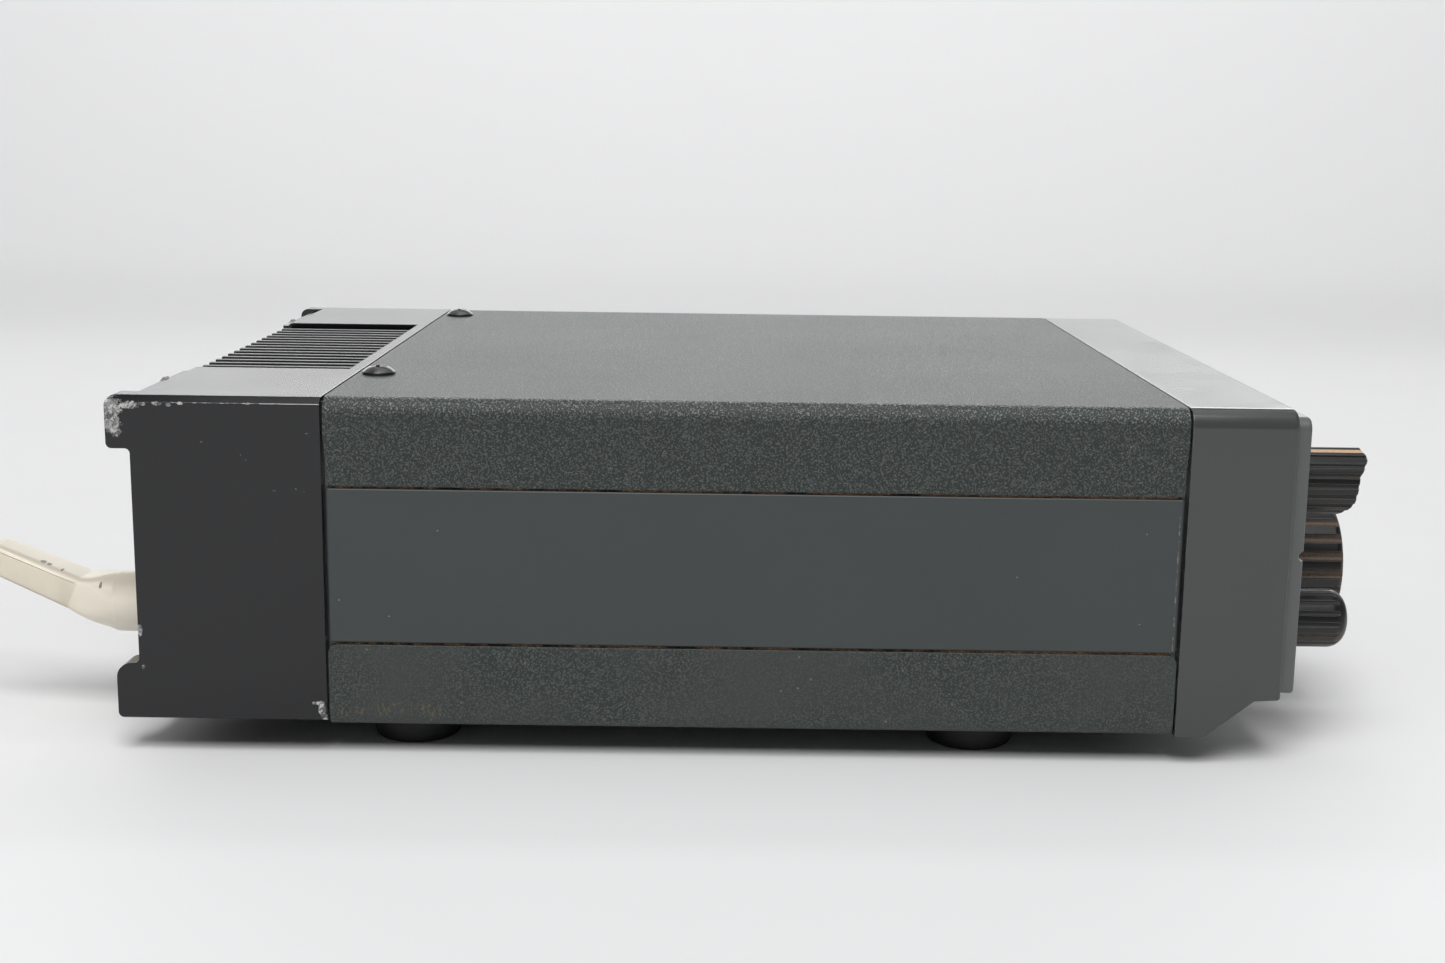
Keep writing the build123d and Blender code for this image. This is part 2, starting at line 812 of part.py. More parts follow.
with BuildPart() as power_plug:
    rod(x_barrel, x_inlet, inlet_y, inlet_z, plug_radius)
    rod(x_inlet, x_inlet + plug_nose, inlet_y, inlet_z, inlet_bore - running_gap)
    with BuildSketch(Plane(origin=barrel_end, x_dir=(0, -1, 0), z_dir=REARWARD)):
        RectangleRounded(2 * plug_radius, 2 * plug_radius, plug_radius * 0.98)
    with BuildSketch(hood_plane(hood_mid)):
        RectangleRounded(hood_mid_width, hood_mid_height, plug_radius * 0.6)
    loft()
    for centre, width, height in (
        (hood_mid, hood_mid_width, hood_mid_height),
        (hood_end, hood_end_width, hood_end_height),
    ):
        with BuildSketch(hood_plane(centre)):
            RectangleRounded(width - 2 * hood_recess, height, hood_edge)
    loft()
    for centre, width, height in (
        (hood_mid, hood_mid_width, hood_mid_height),
        (hood_end, hood_end_width, hood_end_height),
    ):
        with BuildSketch(hood_plane(centre + ridge_low * (height - hood_ridge) / 2)):
            RectangleRounded(width, hood_ridge, hood_edge * 0.8)
    loft()
power_plug.part.label = "power_plug"
export_step(power_plug.part, "parts/power_plug.step")

# Supply lead: a free stretch from the grip down to the floor, then a tied coil
coil_low = tie_thickness + tie_gap + lead_diameter / 2
coil_inner = coil_radius - coil_pitch * coil_layer_turns
coil_turns = 2 * coil_layer_turns + coil_climb_turns
coil_slip = atan2(coil_pitch, 2 * pi * coil_radius)
coil_way = Vector(-cos(coil_slip), sin(coil_slip), 0)

# The free stretch: how far behind the grip, how far aside, and the share of the drop that is left
lead_shape = ((42.5, 0.6, 1.10), (61.5, 1.8, 0.42), (82.0, 3.0, 0.11), (103.5, 3.6, 0.0))
lead_drop = hood_end.Z - coil_low
route = [hood_end, hood_end + hood_way * lead_straight]
for back, aside, share in lead_shape:
    route.append(Vector(hood_end.X - back, hood_end.Y - aside, coil_low + lead_drop * share))
route.append(route[-1] + coil_way * lead_run_in)


def corner_radius(before, at, after):
    """The largest arc that two runs of the lead leave room for."""
    turn = radians((at - before).get_angle(after - at))
    return 0.45 * min((at - before).length, (after - at).length) / tan(turn / 2)


lead_radii = [corner_radius(*route[i - 1 : i + 2]) for i in range(1, len(route) - 1)]
print("lead radii", [round(r, 1) for r in lead_radii])

with BuildPart() as dc_lead:
    with BuildLine() as lead_line:
        FilletPolyline(*route, radius=lead_radii)
    with BuildSketch(Plane(origin=route[0], z_dir=route[1] - route[0])):
        Circle(lead_diameter / 2)
    sweep()
lead_section = pi * lead_diameter**2 / 4
lead_length = sum(e.length for e in lead_line.line.edges())
lead_share = dc_lead.part.volume / lead_section / lead_length
print("lead run", round(lead_length, 1), "volume share", round(lead_share, 4))
dc_lead.part.label = "dc_lead"
export_step(dc_lead.part, "parts/dc_lead.step")

coil_start = route[-1] + coil_way * lead_diameter
coil_x = coil_start.X
coil_y = coil_start.Y + coil_radius


def coil_point(turn):
    """The coil's centre line: in on the lower layer, up in half a turn, out on the upper one."""
    level = 0.0
    if turn <= coil_layer_turns:
        radius = coil_radius - coil_pitch * turn
    elif turn <= coil_layer_turns + coil_climb_turns:
        share = (turn - coil_layer_turns) / coil_climb_turns
        radius = coil_inner - coil_pitch * coil_climb_turns * (share - share**2)
        level = coil_pitch * (3 * share**2 - 2 * share**3)
    else:
        radius = coil_inner + coil_pitch * (turn - coil_layer_turns - coil_climb_turns)
        level = coil_pitch
    angle = -pi / 2 - 2 * pi * turn
    return Vector(coil_x + radius * cos(angle), coil_y + radius * sin(angle), coil_low + level)


def coil_tangent(turn):
    """The way the coil's centre line runs."""
    step = 1e-5
    return (coil_point(turn + step) - coil_point(turn - step)).normalized()


quarters = [i / 4 for i in range(int(coil_turns * 4) + 1)]
coil_tail = coil_point(coil_turns)
tail_way = coil_tangent(coil_turns)
tail_end = coil_tail + tail_way * tail_length

with BuildPart() as dc_lead_coil:
    with BuildLine() as coil_line:
        Line(route[-1], coil_start)
        for here, there in zip(quarters, quarters[1:]):
            p, q = coil_point(here), coil_point(there)
            s, t = coil_tangent(here), coil_tangent(there)
            if here == 0:
                s = coil_way
            spread = 2 * (1 - s.dot(t))
            across = (q - p).dot(s + t)
            reach = (-across + (across**2 + spread * (q - p).dot(q - p)) ** 0.5) / spread
            knee = p + s * reach
            elbow = q - t * reach
            middle = (knee + elbow) * 0.5
            TangentArc(p, middle, tangent=s)
            TangentArc(middle, q, tangent=elbow - knee)
        Line(coil_tail, tail_end)
    with BuildSketch(Plane(origin=route[-1], z_dir=coil_way)):
        Circle(lead_diameter / 2)
    sweep()
coil_length = sum(e.length for e in coil_line.line.edges())
coil_share = dc_lead_coil.part.volume / lead_section / coil_length
print("coil", round(coil_length, 1), "volume share", round(coil_share, 4))
samples = [(i / 100, tuple(coil_point(i / 100))) for i in range(int(coil_turns * 100) + 1)]
least = min(dist(p, q) for a, p in samples for b, q in samples if b - a > 0.3)
print("least gap in the coil", round(least - lead_diameter, 2))
dc_lead_coil.part.label = "dc_lead_coil"
export_step(dc_lead_coil.part, "parts/dc_lead_coil.step")

tie_inner = coil_inner - coil_pitch * coil_climb_turns / 4 - lead_diameter / 2 - tie_slack
tie_outer = coil_radius - coil_pitch / 4 + lead_diameter / 2 + tie_gap
tie_span = tie_outer - tie_inner + 2 * tie_thickness
tie_height = 2 * tie_thickness + 2 * tie_gap + lead_diameter + coil_pitch

with BuildPart() as coil_tie:
    with BuildSketch(Plane.XZ.offset(-coil_y)):
        with Locations((coil_x - (tie_inner + tie_outer) / 2, tie_height / 2)):
            RectangleRounded(tie_span, tie_height, lead_diameter / 2)
            RectangleRounded(
                tie_span - 2 * tie_thickness,
                tie_height - 2 * tie_thickness,
                lead_diameter / 2 - tie_thickness,
                mode=Mode.SUBTRACT,
            )
    extrude(amount=tie_width / 2, both=True)
coil_tie.part.label = "coil_tie"
export_step(coil_tie.part, "parts/coil_tie.step")

connector_height = 2 * (tail_end.Z - connector_lift)

with BuildPart() as lead_connector:
    with BuildSketch(Plane(origin=tail_end, x_dir=(0, 0, 1), z_dir=tail_way)):
        RectangleRounded(connector_height, connector_width, connector_edge)
    extrude(amount=connector_length)
    connector_face = tail_end + tail_way * connector_length
    with BuildSketch(Plane(origin=connector_face, x_dir=(0, 0, 1), z_dir=tail_way)):
        with GridLocations(connector_height / 2, connector_height / 2, 2, 1):
            RectangleRounded(connector_port, connector_width - 2 * connector_port, connector_edge / 2)
    extrude(amount=-connector_port_depth, mode=Mode.SUBTRACT)
lead_connector.part.label = "lead_connector"
export_step(lead_connector.part, "parts/lead_connector.step")

# Feet and their screws
with BuildPart() as rubber_feet:
    with Locations(*[(x, y, 0) for x, y in foot_places]):
        Cone(foot_toe_radius, foot_radius, foot_height, align=AT_BASE)
    fillet(rubber_feet.edges().group_by(Axis.Z)[0], foot_edge)
    with Locations(*[(x, y, foot_floor) for x, y in foot_places]):
        Cylinder(foot_bore, foot_floor, align=AT_TOP, mode=Mode.SUBTRACT)
    with Locations(*[(x, y, foot_height) for x, y in foot_places]):
        Hole(thread_radius + fit_gap, depth=foot_height)
rubber_feet.part.label = "rubber_feet"
export_step(rubber_feet.part, "parts/rubber_feet.step")

foot_shank = foot_height - foot_floor + sheet + collar_height
foot_screw = pan_screw(pan_head, pan_height, thread_radius, foot_shank)
with BuildPart() as foot_screws:
    with Locations(*[Plane(origin=(x, y, foot_floor), z_dir=(0, 0, -1)) for x, y in foot_places]):
        add(foot_screw)
foot_screws.part.label = "foot_screws"
export_step(foot_screws.part, "parts/foot_screws.step")

# Domed screws of the covers and the rear plates
cover_screw = domed_screw()
cover_screw_seats = [Plane(origin=(x, y, z_top)) for x, y in top_screw_places] + [
    Plane(origin=(x, y, z_base), z_dir=(0, 0, -1)) for x, y in bottom_screw_places
]
with BuildPart() as cover_screws:
    with Locations(*cover_screw_seats):
        add(cover_screw)
cover_screws.part.label = "cover_screws"
export_step(cover_screws.part, "parts/cover_screws.step")

rear_screw_seats = [
    Plane(origin=(x_plate, y, z), z_dir=REARWARD)
    for y in (-rear_screw_y, rear_screw_y)
    for z in rear_screw_levels
]
with BuildPart() as rear_plate_screws:
    with Locations(*rear_screw_seats):
        add(cover_screw)
rear_plate_screws.part.label = "rear_plate_screws"
export_step(rear_plate_screws.part, "parts/rear_plate_screws.step")

# Plain screws inside the case
case_screw_seats = (
    [Plane(origin=(x_rear + rear_wall, y, z), z_dir=FORWARD) for y, z in sink_screw_places]
    + [Plane(origin=(x_sub, y, z), z_dir=REARWARD) for y, z in bezel_boss_places]
    + [Plane(origin=(x_sub_front, s * nose_screw_y, nose_screw_z), z_dir=FORWARD) for s in (-1, 1)]
    + [Plane(origin=(x_ear, s * module_screw_y, module_mid), z_dir=FORWARD) for s in (-1, 1)]
    + [
        Plane(origin=(x, s * y_frame_in, rail_screw_z), z_dir=(0, -s, 0))
        for x in rail_screw_x
        for s in (-1, 1)
    ]
)
case_screw = pan_screw(pan_head, pan_height, thread_radius, pan_shank)
with BuildPart() as case_screws:
    with Locations(*case_screw_seats):
        add(case_screw)
case_screws.part.label = "case_screws"
export_step(case_screws.part, "parts/case_screws.step")

# Front bezel: a hollow frame with a sloping chin
chin_lean = atan2(chin_rise, chin_end - chin_start)
chin_shift = bezel_wall * tan(chin_lean / 2)

with BuildPart() as front_bezel:
    with BuildSketch(Plane.XZ) as outside:
        with BuildLine():
            Polyline(
                (x_front, z_base),
                (x_front + chin_start, z_base),
                (x_front + chin_end, z_base + chin_rise),
                (x_bezel, z_base + chin_front_rise),
                (x_bezel, z_top),
                (x_front, z_top),
                close=True,
            )
        make_face()
    extrude(amount=half_width, both=True)
    fillet(front_bezel.edges().filter_by(Axis.X).group_by(Axis.Z)[-1], bezel_round)
    fillet(front_bezel.faces().sort_by(Axis.X)[-1].edges(), bezel_front_round)
    with BuildSketch(Plane.XZ) as inside:
        with BuildLine():
            Polyline(
                (x_front, z_base + bezel_wall),
                (x_front + chin_start - chin_shift, z_base + bezel_wall),
                (x_front + chin_end - chin_shift, z_base + chin_rise + bezel_wall),
                (x_bezel, z_base + chin_front_rise + bezel_wall),
                (x_bezel, z_top - bezel_wall),
                (x_front, z_top - bezel_wall),
                close=True,
            )
        make_face()
    extrude(amount=half_width - bezel_wall, both=True, mode=Mode.SUBTRACT)
    x_boss = x_sub_front + bezel_boss_length
    for y, z in bezel_boss_places:
        rod(x_sub_front, x_boss, y, z, bezel_boss)
        y_side = (half_width - bezel_wall / 2) * (1 if y > 0 else -1)
        block(x_sub_front, x_boss, y, y_side, z - bezel_boss / 2, z + bezel_boss / 2)
        rod(x_sub_front, x_sub + pan_shank, y, z, thread_radius + running_gap, mode=Mode.SUBTRACT)
front_bezel.part.label = "front_bezel"
export_step(front_bezel.part, "parts/front_bezel.step")

# Places of the controls on the panel
mode_place = (-half_width + small_knob_inset, z_base + mode_height)
volume_place = (-half_width + small_knob_inset, z_base + volume_height)
squelch_place = (half_width - squelch_inset, z_base + squelch_height)
tuning_place = (-half_width + tuning_inset, z_base + tuning_height)
mic_place = (half_width - mic_inset, z_base + mic_height)
small_controls = (mode_place, volume_place, squelch_place)
window_y = -half_width + window_inset + window_width / 2
window_z = z_base + window_level
button_names = ("memory_button", "scan_button", "step_button", "power_button")
button_slots = (0, 1, 2, 4)
row_from = tuning_place[0] + tuning_radius + button_row_margin
row_to = mic_place[0] - mic_radius - mic_collar - button_row_margin
button_pitch = (row_to - row_from) / button_slots[-1]
button_width = button_pitch - button_space
button_y = [row_from + button_pitch * slot for slot in button_slots]
button_z = z_base + button_level

# Front panel: a lipped plate with a spigot that fits inside the bezel
lip_low = z_base + chin_front_rise + lip_bottom_inset
lip_high = z_top - lip_top_inset
lip_width = case_width - 2 * lip_side_inset
lip_height = lip_high - lip_low
lip_mid = (lip_low + lip_high) / 2
spigot_low = z_base + chin_front_rise + bezel_wall + fit_gap
spigot_high = z_top - bezel_wall - fit_gap
spigot_y = half_width - bezel_wall - fit_gap
x_spigot = x_bezel - spigot_depth
groove_z = z_base + groove_height


def lip_outline(x, inset):
    """The lip's outline drawn in by an inset, with tighter corners below."""
    with BuildSketch(facing_front(x, 0, lip_mid)) as outline:
        Rectangle(lip_width - 2 * inset, lip_height - 2 * inset)
        fillet(outline.vertices().group_by(Axis.Y)[0], lip_low_corner)
        fillet(outline.vertices().group_by(Axis.Y)[-1], lip_corner)
    return outline.sketch


with BuildPart() as front_panel:
    extrude(lip_outline(x_bezel, 0), amount=lip_depth)
    fillet(front_panel.edges().group_by(Axis.X)[-1], lip_edge)
    block(x_spigot, x_bezel, -spigot_y, spigot_y, spigot_low, spigot_high)
    block(
        x_spigot,
        x_field_back,
        -spigot_y + spigot_wall,
        spigot_y - spigot_wall,
        spigot_low + spigot_wall,
        spigot_high - spigot_wall,
        mode=Mode.SUBTRACT,
    )
    extrude(lip_outline(x_field, rim_width), amount=field_depth, mode=Mode.SUBTRACT)
    for x, length in ((x_lip, case_width), (x_field, lip_width - 2 * rim_width)):
        with Locations(Plane(origin=(x, 0, groove_z), z_dir=(0, 1, 0))):
            Cylinder(groove_radius, length, mode=Mode.SUBTRACT)
    for y, z in small_controls:
        rod(x_field_back, x_field, y, z, shaft_radius + shaft_hole_gap, mode=Mode.SUBTRACT)
    rod(x_field_back, x_field, *tuning_place, tuning_shaft_radius + shaft_hole_gap, mode=Mode.SUBTRACT)
    rod(x_field_back, x_field, *mic_place, mic_radius + fit_gap, mode=Mode.SUBTRACT)
    with BuildSketch(facing_front(x_field - window_thickness, window_y, window_z)):
        Rectangle(window_width + 2 * fit_gap, window_height + 2 * fit_gap)
    extrude(amount=window_thickness, mode=Mode.SUBTRACT)
    with BuildSketch(facing_front(x_field_back, window_y, window_z)):
        Rectangle(window_width - 2 * window_ledge, window_height - 2 * window_ledge)
    extrude(amount=field_thickness, mode=Mode.SUBTRACT)
    with BuildSketch(facing_front(x_field_back, 0, button_z)):
        with Locations(*[(y, 0) for y in button_y]):
            Rectangle(button_width + 2 * fit_gap, button_height + 2 * fit_gap)
    extrude(amount=field_thickness, mode=Mode.SUBTRACT)
front_panel.part.label = "front_panel"
export_step(front_panel.part, "parts/front_panel.step")

with BuildPart() as display_window:
    with BuildSketch(facing_front(x_field - window_thickness, window_y, window_z)):
        Rectangle(window_width, window_height)
    extrude(amount=window_thickness)
display_window.part.label = "display_window"
export_step(display_window.part, "parts/display_window.step")

# Sub-panel behind the front panel, with bosses for the display board
pcb_y_from = -half_width + display_board_inset
pcb_y_to = squelch_place[0] - display_board_gap
pcb_low = z_base + display_board_low
pcb_high = pcb_low + display_board_height
pcb_screw_places = [
    (y, z)
    for y in (pcb_y_from + display_board_hole, pcb_y_to - display_board_hole)
    for z in (pcb_low + display_board_hole, pcb_high - display_board_hole)
]
bushing_radius = shaft_radius + running_gap + bushing_wall
tuning_bushing = tuning_shaft_radius + running_gap + bushing_wall

with BuildPart() as sub_panel:
    block(x_sub, x_sub_front, -y_frame, y_frame, z_nose_low, z_nose_high)
    for y, z in pcb_screw_places:
        rod(x_sub_front, x_pcb, y, z, standoff_radius)
        rod(x_sub, x_pcb, y, z, small_thread + running_gap, mode=Mode.SUBTRACT)
    for y, z in small_controls:
        rod(x_sub, x_sub_front, y, z, bushing_radius + fit_gap, mode=Mode.SUBTRACT)
    rod(x_sub, x_sub_front, *tuning_place, tuning_bushing + fit_gap, mode=Mode.SUBTRACT)
    for y, z in bezel_boss_places:
        rod(x_sub, x_sub_front, y, z, thread_radius + fit_gap, mode=Mode.SUBTRACT)
    for y in (-nose_screw_y, nose_screw_y):
        rod(x_sub, x_sub_front, y, nose_screw_z, thread_radius + fit_gap, mode=Mode.SUBTRACT)
sub_panel.part.label = "sub_panel"
export_step(sub_panel.part, "parts/sub_panel.step")

with BuildPart() as display_board:
    block(x_pcb, x_pcb_front, pcb_y_from, pcb_y_to, pcb_low, pcb_high)
    rod(x_pcb, x_pcb_front, *tuning_place, encoder_clear, mode=Mode.SUBTRACT)
    for y, z in pcb_screw_places:
        rod(x_pcb, x_pcb_front, y, z, small_thread + fit_gap, mode=Mode.SUBTRACT)
display_board.part.label = "display_board"
export_step(display_board.part, "parts/display_board.step")

digit_start = window_y - window_width / 2 + window_ledge + digit_pitch / 2
bar_y = window_y + window_width / 2 - window_ledge - bar_width / 2
with BuildPart() as display_digits:
    with BuildSketch(facing_front(x_pcb_front, 0, window_z)):
        with Locations(*[(digit_start + digit_pitch * i, 0) for i in range(digit_count)]):
            Rectangle(digit_width, digit_height)
        with Locations((bar_y, 0)):
            Rectangle(bar_width, digit_height)
    extrude(amount=digit_depth)
display_digits.part.label = "display_digits"
export_step(display_digits.part, "parts/display_digits.step")

# Push switches on the display board, and the buttons that press them
x_switch = x_pcb_front + switch_depth
x_stem = x_switch - stem_grip
with BuildPart() as push_switches:
    with BuildSketch(facing_front(x_pcb_front, 0, button_z)):
        with Locations(*[(y, 0) for y in button_y]):
            Rectangle(switch_body, switch_body)
    extrude(amount=switch_depth)
    for y in button_y:
        rod(
            x_stem - button_travel - 2 * fit_gap,
            x_switch,
            y,
            button_z,
            stem_radius + running_gap,
            mode=Mode.SUBTRACT,
        )
push_switches.part.label = "push_switches"
export_step(push_switches.part, "parts/push_switches.step")

x_flange_front = x_field_back - fit_gap
x_flange_back = x_flange_front - flange_thickness
for name, y in zip(button_names, button_y):
    with BuildPart() as button:
        with BuildSketch(facing_front(x_flange_front, y, button_z)):
            Rectangle(button_width, button_height)
        extrude(amount=x_lip + button_proud - x_flange_front)
        fillet(button.edges().group_by(Axis.X)[-1], button_edge)
        with BuildSketch(facing_front(x_flange_back, y, button_z)):
            Rectangle(button_width + 2 * button_flange, button_height + 2 * button_flange)
        extrude(amount=flange_thickness)
        rod(x_stem, x_flange_back, y, button_z, stem_radius)
    button.part.label = name
    export_step(button.part, f"parts/{name}.step")

# Rotary controls: body and bushing fixed to the sub-panel, shaft, and knob
mode_front = x_lip + mode_nose
small_front = x_lip + small_knob_reach
tuning_front = x_lip + tuning_reach

for name, (y, z) in zip(("mode_switch", "volume_pot", "squelch_pot"), small_controls):
    with BuildPart() as control:
        block(
            x_sub - control_depth,
            x_sub,
            y - control_body / 2,
            y + control_body / 2,
            z - control_body / 2,
            z + control_body / 2,
        )
        rod(x_sub, x_sub + bushing_length, y, z, bushing_radius)
        rod(
            x_sub - shaft_tail - fit_gap,
            x_sub + bushing_length,
            y,
            z,
            shaft_radius + running_gap,
            mode=Mode.SUBTRACT,
        )
    control.part.label = name
    export_step(control.part, f"parts/{name}.step")

with BuildPart() as tuning_encoder:
    rod(x_sub - encoder_depth, x_sub, *tuning_place, encoder_radius)
    rod(x_sub, x_sub + bushing_length, *tuning_place, tuning_bushing)
    rod(
        x_sub - shaft_tail - fit_gap,
        x_sub + bushing_length,
        *tuning_place,
        tuning_shaft_radius + running_gap,
        mode=Mode.SUBTRACT,
    )
tuning_encoder.part.label = "tuning_encoder"
export_step(tuning_encoder.part, "parts/tuning_encoder.step")

with BuildPart() as control_nuts:
    for y, z in small_controls:
        with BuildSketch(facing_front(x_sub_front, y, z)):
            RegularPolygon(bushing_radius + nut_wall, 6)
            Circle(bushing_radius + running_gap, mode=Mode.SUBTRACT)
    with BuildSketch(facing_front(x_sub_front, *tuning_place)):
        RegularPolygon(tuning_bushing + nut_wall, 6)
        Circle(tuning_bushing + running_gap, mode=Mode.SUBTRACT)
    extrude(amount=nut_thickness)
control_nuts.part.label = "control_nuts"
export_step(control_nuts.part, "parts/control_nuts.step")

shaft_list = (
    ("mode_shaft", mode_place, shaft_radius, x_lip + mode_heel),
    ("volume_shaft", volume_place, shaft_radius, small_front - knob_cap),
    ("squelch_shaft", squelch_place, shaft_radius, small_front - knob_cap),
    ("tuning_shaft", tuning_place, tuning_shaft_radius, tuning_front - knob_cap),
)
for name, place, radius, end in shaft_list:
    with BuildPart() as shaft:
        rod(x_sub - shaft_tail, end - fit_gap, *place, radius)
    shaft.part.label = name
    export_step(shaft.part, f"parts/{name}.step")

with BuildPart() as mode_grip:
    y, z = mode_place
    outline = knob_outline(y, z, mode_radius, flute_radius, mode_flutes)
    extrude(outline, amount=mode_front - x_knob)
    block(x_knob, mode_front, y - pointer_width / 2, y + pointer_width / 2, z, z + mode_radius)

with BuildPart() as mode_knob:
    add(mode_grip.part.rotate(Axis((0, *mode_place), FORWARD), pointer_turn))
    with BuildSketch(Plane.XZ.offset(-y)):
        with BuildLine():
            nose_top = (mode_front - lip_edge, z + mode_radius)
            nose_tip = (mode_front, z + mode_tip_rise)
            shoulder = (x_lip + mode_shoulder, z + mode_shoulder_rise)
            waist = (x_lip + mode_waist, z - mode_waist_drop)
            curve = (x_lip + mode_curve, z - mode_curve_drop)
            heel = (x_lip + mode_heel, z - mode_radius)
            Polyline(nose_top, nose_tip, shoulder, waist)
            ThreePointArc(waist, curve, heel)
            Polyline(
                heel,
                (x_lip + mode_heel, z - mode_radius - lip_edge),
                (mode_front + lip_edge, z - mode_radius - lip_edge),
                (mode_front + lip_edge, z + mode_radius + lip_edge),
                (mode_front - lip_edge, z + mode_radius + lip_edge),
                nose_top,
            )
        make_face()
    extrude(amount=2 * mode_radius, both=True, mode=Mode.SUBTRACT)
    rod(x_knob, x_lip + mode_heel, y, z, shaft_radius + running_gap, mode=Mode.SUBTRACT)
mode_knob.part.label = "mode_knob"
export_step(mode_knob.part, "parts/mode_knob.step")

for name, (y, z) in (("volume_knob", volume_place), ("squelch_knob", squelch_place)):
    with BuildPart() as small_knob:
        outline = knob_outline(y, z, small_knob_radius, flute_radius, small_flutes)
        extrude(outline, amount=small_front - x_knob)
        revolve(
            knob_turning(y, z, small_knob_radius, small_front, small_knob_edge),
            axis=Axis((0, y, z), FORWARD),
            mode=Mode.INTERSECT,
        )
        rod(x_knob, small_front - knob_cap, y, z, shaft_radius + running_gap, mode=Mode.SUBTRACT)
    small_knob.part.label = name
    export_step(small_knob.part, f"parts/{name}.step")

with BuildPart() as tuning_knob:
    y, z = tuning_place
    outline = knob_outline(y, z, tuning_radius, tuning_flute_radius, tuning_flutes)
    extrude(outline, amount=tuning_front - x_knob)
    revolve(
        knob_turning(y, z, tuning_radius, tuning_front, tuning_edge),
        axis=Axis((0, y, z), FORWARD),
        mode=Mode.INTERSECT,
    )
    rod(tuning_front - dish_depth, tuning_front, y, z, dish_radius, mode=Mode.SUBTRACT)
    rod(x_knob, tuning_front - knob_cap, y, z, tuning_shaft_radius + running_gap, mode=Mode.SUBTRACT)
tuning_knob.part.label = "tuning_knob"
export_step(tuning_knob.part, "parts/tuning_knob.step")

# Microphone socket: threaded shell with a collar, and its insert with pins
mic_y, mic_z = mic_place
x_mic_back = x_field - mic_depth
x_mic_front = x_lip + mic_reach
with BuildPart() as mic_socket:
    rod(x_mic_back, x_mic_front, mic_y, mic_z, mic_radius)
    rod(x_field, x_field + mic_collar_thickness, mic_y, mic_z, mic_radius + mic_collar)
    rod(x_mic_back, x_mic_front, mic_y, mic_z, mic_bore, mode=Mode.SUBTRACT)
    fillet(mic_socket.edges().group_by(Axis.X)[-1], running_gap * 8)
mic_socket.part.label = "mic_socket"
export_step(mic_socket.part, "parts/mic_socket.step")

with BuildPart() as mic_insert:
    rod(x_mic_back, x_mic_back + mic_insert_depth, mic_y, mic_z, mic_bore - running_gap)
    with BuildSketch(facing_front(x_mic_back + mic_insert_depth, mic_y, mic_z)):
        with PolarLocations(mic_pin_circle, mic_pin_count - 1):
            Circle(mic_pin_radius)
        Circle(mic_pin_radius)
    extrude(amount=mic_pin_length)
mic_insert.part.label = "mic_insert"
export_step(mic_insert.part, "parts/mic_insert.step")

# Boards, standoffs, shields and the power module
z_main = z_shelf_top + standoff_height
z_rf = z_shelf - standoff_height - board_thickness
main_from = x_rear + main_board_start
main_to = x_shelf_end - main_board_end_gap
rf_from = x_rear + rf_board_start
rf_to = rf_from + rf_board_length
main_y = y_frame_in - main_board_side_gap
rf_y = y_frame_in - rf_board_side_gap
main_holes = [
    (x, y)
    for x in (main_from + board_hole_inset, main_to - board_hole_inset)
    for y in (-main_y + board_hole_inset, main_y - board_hole_inset)
]
rf_holes = [
    (x, y)
    for x in (rf_from + board_hole_inset, rf_to - board_hole_inset)
    for y in (-rf_y + board_hole_inset, rf_y - board_hole_inset)
]

with BuildPart() as main_board:
    block(main_from, main_to, -main_y, main_y, z_main, z_main + board_thickness)
    with Locations(*[(x, y, z_main + board_thickness) for x, y in main_holes]):
        Hole(small_thread + fit_gap, depth=board_thickness)
main_board.part.label = "main_board"
export_step(main_board.part, "parts/main_board.step")

with BuildPart() as rf_board:
    block(rf_from, rf_to, -rf_y, rf_y, z_rf, z_rf + board_thickness)
    with Locations(*[(x, y, z_rf + board_thickness) for x, y in rf_holes]):
        Hole(small_thread + fit_gap, depth=board_thickness)
rf_board.part.label = "rf_board"
export_step(rf_board.part, "parts/rf_board.step")

with BuildPart() as board_standoffs:
    with Locations(*[(x, y, z_shelf_top) for x, y in main_holes]):
        Cylinder(standoff_radius, standoff_height, align=AT_BASE)
    with Locations(*[(x, y, z_shelf) for x, y in rf_holes]):
        Cylinder(standoff_radius, standoff_height, align=AT_TOP)
    with Locations(*[(x, y, z_main) for x, y in main_holes]):
        Hole(small_thread + running_gap, depth=standoff_height)
    with Locations(*[(x, y, z_shelf) for x, y in rf_holes]):
        Hole(small_thread + running_gap, depth=standoff_height)
board_standoffs.part.label = "board_standoffs"
export_step(board_standoffs.part, "parts/board_standoffs.step")

small_screw = pan_screw(small_head, small_head_height, small_thread, small_shank)
board_screw_seats = (
    [Plane(origin=(x, y, z_main + board_thickness)) for x, y in main_holes]
    + [Plane(origin=(x, y, z_rf), z_dir=(0, 0, -1)) for x, y in rf_holes]
    + [Plane(origin=(x_pcb_front, y, z), z_dir=FORWARD) for y, z in pcb_screw_places]
)
with BuildPart() as board_screws:
    with Locations(*board_screw_seats):
        add(small_screw)
board_screws.part.label = "board_screws"
export_step(board_screws.part, "parts/board_screws.step")

antenna_screw_shank = rear_plate + antenna_flange_thickness
antenna_screw = pan_screw(small_head, small_head_height, small_thread, antenna_screw_shank)
with BuildPart() as antenna_screws:
    with Locations(*[Plane(origin=(x_flange, y, z), z_dir=REARWARD) for y, z in antenna_screw_places]):
        add(antenna_screw)
antenna_screws.part.label = "antenna_screws"
export_step(antenna_screws.part, "parts/antenna_screws.step")



